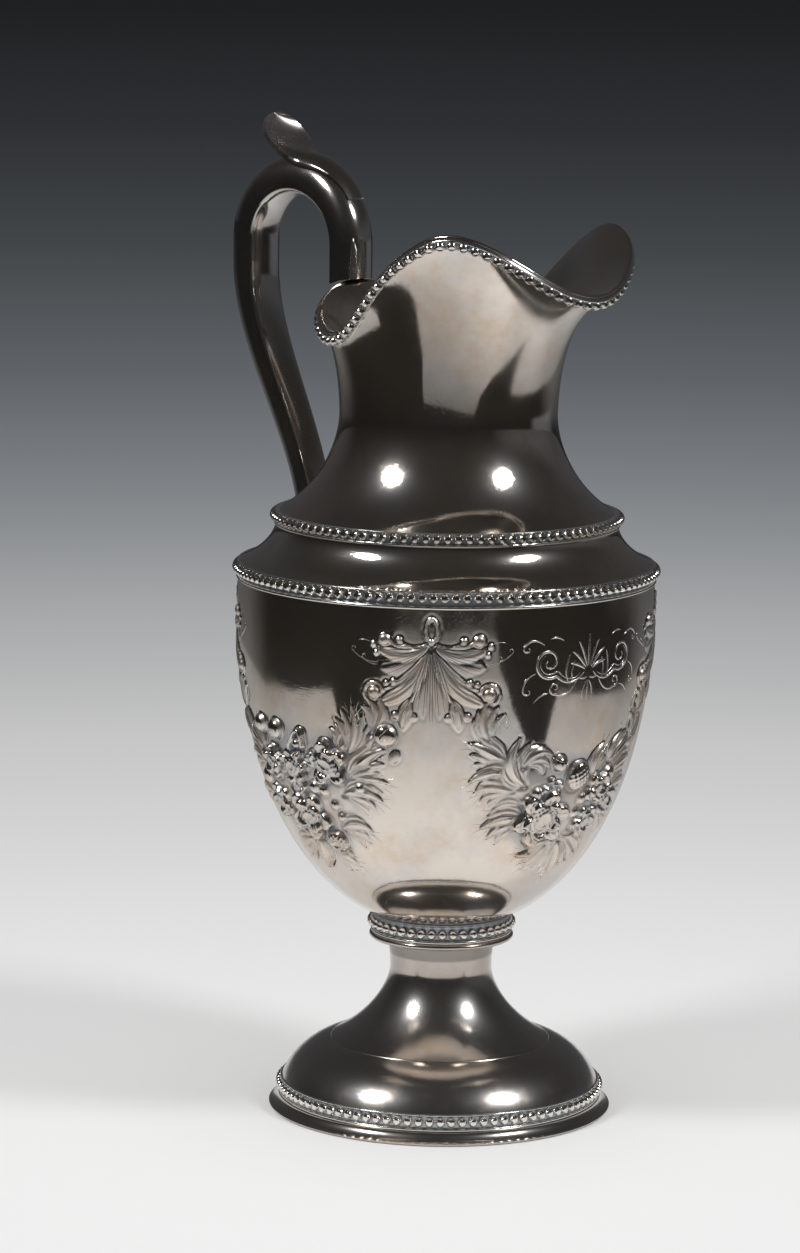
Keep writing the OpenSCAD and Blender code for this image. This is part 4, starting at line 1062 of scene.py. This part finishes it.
# rim of the mouth at angle t from the pouring lip: radius and height as sums of cosines,
# tucked in at the lip and round the back, and lifted along the two sides
def rimAt(t):
    one, two, three, four = (np.cos(k * t) for k in (1, 2, 3, 4))
    r = mouth["r"] + mouth["reach"] * one + mouth["oval"] * two + mouth["pinch"] * three
    z = level["mouth"] + mouth["rise"] * one + mouth["saddle"] * two
    z = z - mouth["wave"] * three - mouth["dip"] * four
    a = np.abs((t + np.pi) % (2 * np.pi) - np.pi)
    r = r - mouth["tuck"] * (1 - eased(a, *mouth["lipTuck"]) + eased(a, *mouth["backTuck"]))
    z = z + mouth["lift"] * eased(a, *mouth["sideLift"]) * (1 - mouth["fall"] * eased(a, *mouth["backFall"]))
    return r, z


# outlines of the neck at angles t, from its lower edge over the waist to the rim: [angle, point, (r, z)]
def neckCurves(t):
    waistR, waistZ = neck["waistR"], level["waist"]
    low = flare(waistR, waistZ, neck["baseR"], level["neck"], neck["power"], neck["lowSteps"])[::-1]
    g, u = quarterShares(neck["power"], neck["highSteps"], neck["endAngle"])
    r, z = rimAt(t)
    high = np.stack([waistR + (r[:, None] - waistR) * g[1:], waistZ + (z[:, None] - waistZ) * u[1:]], -1)
    return np.concatenate([np.broadcast_to(low, (len(t), *low.shape)), high], 1)


theta = np.linspace(0, 2 * np.pi, neck["steps"], endpoint=False)
curves = neckCurves(theta)
way = unit(np.gradient(curves, axis=1))
outward = rightOf(way)
lining = curves - wall * outward
lining[:, 0] = curves[:, 0] - [wall, 0]
cap = np.radians(np.linspace(0, 180, 7))[1:-1, None]
capMiddle = (curves[:, -1:] + lining[:, -1:]) / 2
lipCap = capMiddle + wall / 2 * (np.cos(cap) * outward[:, -1:] + neck["capFlat"] * np.sin(cap) * way[:, -1:])
loops = np.concatenate([curves, lipCap, lining[:, ::-1]], 1)
points = turnedRound(loops, theta).reshape(-1, 3)
# a dull film under the pouring lip and inside it
bearing = (theta + np.pi) % (2 * np.pi) - np.pi
filmRound = eased(bearing, *neck["filmFrom"]) * (1 - eased(bearing, *neck["filmTo"]))
film = neck["film"] * filmRound[:, None] * eased(loops[..., 1], *neck["filmUp"])
faces = [gridQuads(len(theta), loops.shape[1], True, True)]
addPiece("neck", points, faces, bodySilver, ["neck"], sharp=60, tarnishAndShade=film.reshape(-1))

# wire along the rim: a strip with a round line at each edge, and beads on it at equal distances
rimWire = {"w": 4.6, "t": 1.0, "line": 0.5, "sunk": 0.15, "beadR": 1.95, "beadPitch": 4.33}
line, front = rimWire["line"], solderGap + rimWire["t"]


# half-round line of the wire's section, [place down the neck, height off it], about the place x
def roundLine(x):
    a = np.radians(np.linspace(-90, 90, 7))
    return np.stack([x - line * np.sin(a), front + line * np.cos(a)], -1)


groundAt = np.linspace(rimWire["w"] - 2 * line, 2 * line, 5)[1:-1]
ground = np.stack([groundAt, np.full(len(groundAt), front - rimWire["sunk"])], -1)
section = np.vstack([[[rimWire["w"], solderGap]], roundLine(rimWire["w"] - line), ground, roundLine(line),
                     [[0, solderGap]]])
tones = np.repeat([0, 0.1, 0.9, 0.05, 0], [1, 7, 3, 7, 1])
strip = curves[:, -1:] - section[:, :1] * way[:, -1:] + section[:, 1:] * outward[:, -1:]
points = turnedRound(strip, theta).reshape(-1, 3)
faces = [gridQuads(len(theta), len(section), True, True)]

edge = turnedRound(curves[:, -1:], theta)[:, 0]
along = lengthsAlong(np.vstack([edge, edge[:1]]))
count = round(along[-1] / rimWire["beadPitch"])
t = np.interp(np.arange(count) * along[-1] / count, along, np.r_[theta, 2 * np.pi])
rimCurves = neckCurves(t)
rimWay = unit(rimCurves[:, -1:] - rimCurves[:, -2:-1])
rimOut = rightOf(rimWay)
beadOff = 2 * solderGap + 2 * bead["r"] - rimWire["beadR"]
centres = turnedRound(rimCurves[:, -1:] - rimWire["w"] / 2 * rimWay + beadOff * rimOut, t)[:, 0]
out, side = turnedRound(rimOut, t)[:, 0], sideways(t)
balls, ballFaces, shade = beadMesh(centres, out, side, np.cross(out, side), rimWire["beadR"])
faces += [f + len(points) for f in ballFaces]
addPiece("rimBeadWire", np.vstack([points, balls]), faces, beadSilver, ["rim_bead_wire"],
         sharp=60, tarnishAndShade=np.r_[np.tile(tones, len(theta)), shade])
print("stage: neck and mouth raised,", count, "beads on the rim")

# handle: a rounded channel over a crowned strip, carried along an arch and a long S
handle = {
    "topW": 16.0, "midW": 16.0, "endW": 11.5, "thick": 9.8, "midThick": 12.2, "endThick": 10.5,
    "crestOut": 4.75, "endOut": 4.0, "square": 0.80, "footOut": -0.8, "legH": 11.5, "archH": 26.5,
    "archSpan": 54.4, "drop": 10.0, "landIn": 6.5,
    "steps": 150, "sectionSteps": 28, "overhang": 0.35, "overhangTo": 5,
    "crown": 3.0, "crownLoss": 0.8, "stripSteps": 24,
}


# where a foot of the handle stands on the shoulder at radius r
def shelfAt(r):
    return np.interp(r, shelf[::-1, 0], shelf[::-1, 1]) + solderGap


backR, backZ = rimAt(np.array([np.pi]))
footR, footZ = backR[0] + handle["footOut"], backZ[0] + wall + solderGap
springZ = footZ + handle["legH"]
outerR = footR + handle["archSpan"]
landR = shoulder["r"] - handle["landIn"]
a = np.pi * (1 - np.linspace(0, 1, 120))
arch = np.stack([footR + handle["archSpan"] / 2 * (1 + np.cos(a)), springZ + handle["archH"] * np.sin(a)], -1)
u = np.linspace(0, 1, 160)[:, None]
swingZ = springZ - handle["drop"]
swing = np.hstack([outerR - (outerR - landR) * eased(u), swingZ - (swingZ - shelfAt(landR)) * u])
handlePath = resampled(np.vstack([[[footR, footZ]], arch, swing]), handle["steps"])
handleOut = -rightOf(tangents(handlePath))
crest = int(np.argmax(handlePath[:, 1]))
bendStep = int(np.argmax(handlePath[:, 0]))
index = np.arange(handle["steps"])


# a size along the handle: from the mouth to its widest bend, and on to its foot
def alongHandle(first, middle, last):
    up = eased(index / bendStep)
    down = eased((index - bendStep) / (handle["steps"] - 1 - bendStep))
    return first + (middle - first) * up + (last - middle) * down


handleW = alongHandle(handle["topW"], handle["midW"], handle["endW"])
handleT = alongHandle(handle["thick"], handle["midThick"], handle["endThick"])
downward = eased((index - crest) / (handle["steps"] - 1 - crest))
stripAt = handle["crestOut"] + (handle["endOut"] - handle["crestOut"]) * downward - handleT   # the flat side
shellAt = stripAt + wall + solderGap
shellT = handleT - wall - solderGap


# points of the handle's section: across its width and outwards from its centre line, in the plane of pouring
def handlePoints(across, outwards, rows=slice(None)):
    q = handlePath[rows, None] + outwards[..., None] * handleOut[rows, None]
    return np.stack([-q[..., 0], across, q[..., 1]], -1)


# the two ends follow the rim and the shelf that they stand on
def seated(p):
    first, last = p[0], p[-1]
    rimR, rimZ = rimAt(np.pi - np.arctan2(first[:, 1], -first[:, 0]))
    past = np.clip(np.hypot(first[:, 0], first[:, 1]) - rimR, 0, handle["overhangTo"])
    first[:, 2] = rimZ + wall + solderGap - handle["overhang"] * past
    last[:, 2] = shelfAt(np.hypot(last[:, 0], last[:, 1]))
    return p


# section of the shell: cos and sin of an angle, each to the same power
def channel(inset):
    a = np.radians(np.linspace(0, 180, handle["sectionSteps"] + 1))
    c, s = np.cos(a), np.sin(a)
    across = -(handleW[:, None] / 2 - inset) * np.sign(c) * np.abs(c) ** handle["square"]
    return seated(handlePoints(across, shellAt[:, None] + (shellT - inset)[:, None] * s ** handle["square"]))


# height of that section, from 0 at its edges to 1, at the share q of its half width
def roundAt(q):
    return (1 - np.abs(q) ** (2 / handle["square"])) ** (handle["square"] / 2)


points, faces = tubeMesh(np.concatenate([channel(0), channel(wall)[:, ::-1]], 1))
addPiece("handleShell", points, faces, handleSilver, ["handle_shell"], sharp=50)

# strip: crowned by half an ellipse across, and nearly flat where it lands beside the neck
crown = handle["crown"] * (1 - handle["crownLoss"] * downward)
v = -np.cos(np.linspace(0, np.pi, handle["stripSteps"] + 1))
inner = stripAt[:, None] - crown[:, None] * np.sqrt(1 - v ** 2)
rows = [seated(handlePoints(v * handleW[:, None] / 2, inner + d)) for d in (wall, 0)]
points, faces = tubeMesh(np.concatenate([rows[0], rows[1][:, ::-1]], 1))
addPiece("handleStrip", points, faces, handleSilver, ["handle_strip"], sharp=40)

# thumb rest: a tongue on the crest that lifts off into a cupped leaf
leafRest = {
    "h": 15.2, "w": 21.0, "t": 1.8, "thin": 0.45, "cup": 1.6, "lean": 20.0, "part": 0.86, "start": 0.5,
    "level": 1.5, "lift": 0.3, "shoulder": 0.55, "hug": 0.62, "tipShare": 0.125, "satin": 0.4,
    "satinRows": 14, "columns": 36, "tongueRows": 26, "leafRows": 48, "tongueFrom": 27.0, "tongueTo": -4.4,
}
v = np.linspace(-1, 1, leafRest["columns"] + 1)
arcs = lengthsAlong(handlePath)
tongueAt = arcs[crest] + np.linspace(-leafRest["tongueFrom"], leafRest["tongueTo"], leafRest["tongueRows"])
rows = np.unique(np.searchsorted(arcs, tongueAt))
widening = eased(np.linspace(0, 1, len(rows)))


# the tongue lies on the shell, at the distance d above it
def tongue(d):
    q = v * (leafRest["start"] + (leafRest["part"] - leafRest["start"]) * widening)[:, None]
    lift = shellAt[rows, None] + shellT[rows, None] * roundAt(q) + d[:, None]
    return handlePoints(q * handleW[rows, None] / 2, lift, rows)


thickness = leafRest["t"] * (leafRest["thin"] + (1 - leafRest["thin"]) * widening)
low, high = tongue(np.full(len(rows), solderGap)), tongue(solderGap + thickness)
root = low[-1, leafRest["columns"] // 2]

# middle line of the leaf: lean and height times s u (1 - u) + u^2, and its slope s + 2 (1 - s) u
u = np.sin(np.pi / 2 * np.linspace(0, 1, leafRest["leafRows"] + 2))[2:, None]
size, first = np.array([leafRest["lean"], leafRest["h"]]), np.array([leafRest["level"], leafRest["lift"]])
mid = size * (first * u * (1 - u) + u * u)
lead = unit(size * (first + 2 * (1 - first) * u))
rootW, fullW, s = leafRest["part"] * handleW[rows[-1]] / 2, leafRest["w"] / 2, leafRest["shoulder"]
tipRound = np.sqrt(np.clip(1 - ((u - s) / (1 - s)) ** 2, 0, 1))
halfW = np.where(u < s, rootW + (fullW - rootW) * eased(u / s), fullW * tipRound)
halfW = np.maximum(halfW, fullW * leafRest["tipShare"])


# near the root its sides still lie round the handle
def leafRow(d):
    back = d + leafRest["cup"] * np.sin(np.pi / 2 * u) * (1 - v ** 2)
    sink = (1 - eased(u, 0.0, leafRest["hug"])) * shellT[rows[-1]] * (1 - roundAt(leafRest["part"] * v))
    x = -mid[:, :1] - back * lead[:, 1:]
    z = mid[:, 1:] - back * lead[:, :1] - sink
    return root + np.stack([x, halfW * v, z], -1)


under, over = np.concatenate([low, leafRow(0.0)]), np.concatenate([high, leafRow(-leafRest["t"])])
points, faces = tubeMesh(np.concatenate([over, under[:, ::-1]], 1))
dull = leafRest["satin"] * eased(np.arange(len(over)), len(rows), len(rows) + leafRest["satinRows"])
addPiece("thumbRest", points, faces, handleSilver, ["thumb_rest"], sharp=50,
         satin=np.repeat(dull, 2 * len(v)))
print("stage: handle bent")

# floor, lights and camera
# view of the photograph: level circles of the ewer gave the camera's place, tilt, roll and length
view = {
    "azimuth": -48.0, "distance": 1.67292, "height": 0.44841, "pitch": 0.161187, "roll": 0.0126624,
    "yaw": 0.00984439, "focal": 4690.63, "imageHeight": 1253.0, "sensor": 36.0,
}
stageSet = {
    "worldLight": 0.80, "dim": (0.0115, 0.0104, 0.0085), "upper": (0.023, 0.0215, 0.019),
    "hung": (0.050, 0.051, 0.055), "wall": (0.16, 0.165, 0.185), "dusk": (0.016, 0.017, 0.0185), "fade": 1.15,
    "reach": 1.25, "edge": 0.02, "floorR": 60, "floorFrom": 0.02, "floorDown": 0.0001,
}
# where metal sees the grey wall and the hanging paper: on the floor by bearing in half turns and by metres,
# in the room by cosines towards them and upwards; four numbers are a range and what it becomes
sight = {
    "glowFrom": (0.52, 0.58), "glowTo": (0.80, 0.70), "glowFar": (1.2, 1.7),
    "behind": (0.60, 0.80, 0.0, 0.25), "overhead": (0.02, 0.50),
    "wallAngle": 48.0, "wall": (0.60, 0.95), "wallUp": (0.12, 0.42, 0.35, 0.0),
    "hung": (0.30, 0.85), "hungUp": (0.0, 0.9, 1.0, 0.12),
}
az = math.radians(view["azimuth"])
ahead = np.array([-math.cos(az), -math.sin(az), 0])
right = np.array([-math.sin(az), math.cos(az), 0])
upright = np.array([0, 0, 1.0])

disc, ringCount = 96, 40
r = np.geomspace(stageSet["floorFrom"], stageSet["floorR"], ringCount)[:, None]
t = np.linspace(0, 2 * np.pi, disc, endpoint=False)
rings = np.stack([r * np.cos(t), r * np.sin(t), 0 * r * t], -1).reshape(-1, 3)
fan = fanTriangles(np.arange(disc), len(rings))
mesh = bpy.data.meshes.new("floor")
mesh.from_pydata(np.vstack([rings, [[0, 0, 0]]]).tolist(), [],
                 gridQuads(ringCount, disc, False, True).tolist() + fan.tolist())
floorPiece = bpy.data.objects.new("floor", mesh)
floorPiece.location.z = -stageSet["floorDown"]
bpy.context.scene.collection.objects.link(floorPiece)
floorPiece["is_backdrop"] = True

# paper is painted pale by the ewer and falling away to charcoal, a painted falloff of light: place on the
# ramp is d / (d + fade)
paintedFalloffStops = [
    (0.0, 0.80), (0.10, 0.80), (0.22, 0.74), (0.28, 0.70), (0.395, 0.63), (0.5, 0.48), (0.596, 0.297),
    (0.685, 0.168), (0.77, 0.086), (0.848, 0.042), (0.919, 0.021), (1.0, 0.016),
]
# metal sees that painted falloff come sooner, and dark past an edge whose distance changes with the bearing
# from the camera
mirroredStops = [
    (0.0, 0.80), (0.09, 0.79), (0.15, 0.65), (0.265, 0.40), (0.38, 0.23), (0.51, 0.15), (0.7, 0.05),
    (1.0, 0.01),
]
reachStops = [
    (0.0, 0.96), (0.14, 0.95), (0.152, 0.80), (0.158, 0.58), (0.20, 0.37), (0.274, 0.20), (0.295, 0.16),
    (0.317, 0.26), (0.348, 0.44), (0.5, 0.44), (0.65, 0.50), (1.0, 0.96),
]
paper = bpy.data.materials.new("paper")
net = NodeSet(paper)
place = net.add("TexCoord").outputs["Object"]
far = net.measure("LENGTH", place)
share = net.math("DIVIDE", far, net.math("ADD", far, stageSet["fade"]))
paintedFalloff = net.greys(share, paintedFalloffStops, blue=0.2)
turned = net.add("Mapping", {"Vector": place, "Rotation": (0, 0, -az)}).outputs["Vector"]
parts = net.add("SeparateXYZ", {0: turned}).outputs
signed = net.math("DIVIDE", net.math("ARCTAN2", parts["Y"], parts["X"]), math.pi)
bearing = net.math("ABSOLUTE", signed)
past = net.math("SUBTRACT", far, net.times(net.greys(bearing, reachStops), stageSet["reach"]))
floorDim = tuple(v / stageSet["worldLight"] for v in stageSet["dim"])
dark = net.softly(past, -stageSet["edge"], stageSet["edge"])
shown = net.mixed(dark, net.greys(share, mirroredStops), floorDim)
# a grey wall at the right, past the dark
glow = net.times(net.softly(signed, *sight["glowFrom"]), net.softly(signed, *sight["glowTo"]))
shown = net.mixed(net.times(glow, net.softly(far, *sight["glowFar"])), shown, stageSet["wall"])
# behind the ewer the paper shows through a little
shown = net.mixed(net.softly(bearing, *sight["behind"]), shown, paintedFalloff)
glossy = net.add("LightPath").outputs["Is Glossy Ray"]
matte = net.add("BsdfDiffuse", {"Color": net.mixed(glossy, paintedFalloff, shown)})
net.add("OutputMaterial", {"Surface": matte.outputs[0]})
mesh.materials.append(paper)

# world: even light on the floor, while polished metal sees a dim warm room, a little lighter overhead
world = bpy.data.worlds.new("room")
bpy.context.scene.world = world
net = NodeSet(world)
way = net.add("TexCoord").outputs["Generated"]
upwards = net.add("SeparateXYZ", {0: way}).outputs["Z"]
room = net.mixed(net.softly(upwards, *sight["overhead"]), stageSet["dim"], stageSet["upper"])
# a grey wall stands at the right, to a third of the way up
wallAz = math.radians(sight["wallAngle"])
toWall = net.measure("DOT_PRODUCT", way, (math.cos(wallAz), math.sin(wallAz), 0))
wallSeen = net.times(net.softly(toWall, *sight["wall"]), net.softly(upwards, *sight["wallUp"]))
room = net.mixed(wallSeen, room, stageSet["wall"])
# the hanging paper behind the ewer glows grey in the metal, less towards its top
away = net.measure("DOT_PRODUCT", way, tuple(ahead))
hungSeen = net.times(net.softly(away, *sight["hung"]), net.softly(upwards, *sight["hungUp"]))
room = net.mixed(hungSeen, room, stageSet["hung"])
even = net.add("Background", {"Strength": stageSet["worldLight"]})
mirrored = net.add("Background", {"Color": room})
dusk = net.add("Background", {"Color": stageSet["dusk"]})
rays = net.add("LightPath").outputs
metalSees = net.add("MixShader", {"Fac": rays["Is Glossy Ray"], 1: even.outputs[0], 2: mirrored.outputs[0]})
cameraSees = net.add("MixShader", {"Fac": rays["Is Camera Ray"], 1: metalSees.outputs[0], 2: dusk.outputs[0]})
net.add("OutputWorld", {"Surface": cameraSees.outputs[0]})


# matrix of three axes and a place
def matrixOf(axes, place):
    return Matrix([*np.column_stack([*axes, place]).tolist(), [0, 0, 0, 1]])


# two square directions turned by an angle in their plane
def turnedBy(p, q, angle):
    c, s = math.cos(angle), math.sin(angle)
    return p * c - q * s, q * c + p * s


ahead, right = turnedBy(ahead, right, view["yaw"])
look, up = turnedBy(ahead, upright, view["pitch"])
up, right = turnedBy(up, right, view["roll"])
lens = bpy.data.cameras.new("camera")
lens.sensor_width = view["sensor"]
lens.lens = view["focal"] * lens.sensor_width / view["imageHeight"]
lens.clip_start, lens.clip_end = 0.05, 200
camera = bpy.data.objects.new("camera", lens)
stand = [view["distance"] * math.cos(az), view["distance"] * math.sin(az), view["height"]]
camera.matrix_world = matrixOf([right, up, -look], stand)
bpy.context.scene.collection.objects.link(camera)
bpy.context.scene.camera = camera

# two soft boxes above the ewer, one each side of the camera
boxes = {"angles": (-62.0, 62.0), "distance": 1.1, "height": 1.19, "aim": 0.2, "size": 0.38, "power": 8.5}
for k, offset in enumerate(boxes["angles"]):
    a = az + math.radians(offset)
    lamp = bpy.data.lights.new("softBox%d" % (k + 1), "AREA")
    lamp.shape = "DISK"
    lamp.size = boxes["size"]
    lamp.energy = boxes["power"]
    box = bpy.data.objects.new(lamp.name, lamp)
    stand = np.array([boxes["distance"] * math.cos(a), boxes["distance"] * math.sin(a), boxes["height"]])
    toEwer = unit(np.array([0, 0, boxes["aim"]]) - stand)
    across = unit(np.cross(toEwer, upright))
    box.matrix_world = matrixOf([across, np.cross(across, toEwer), -toEwer], stand)
    bpy.context.scene.collection.objects.link(box)

bpy.context.scene.view_settings.view_transform = "Standard"
low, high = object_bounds()
print("stage: floor, lights and camera set")
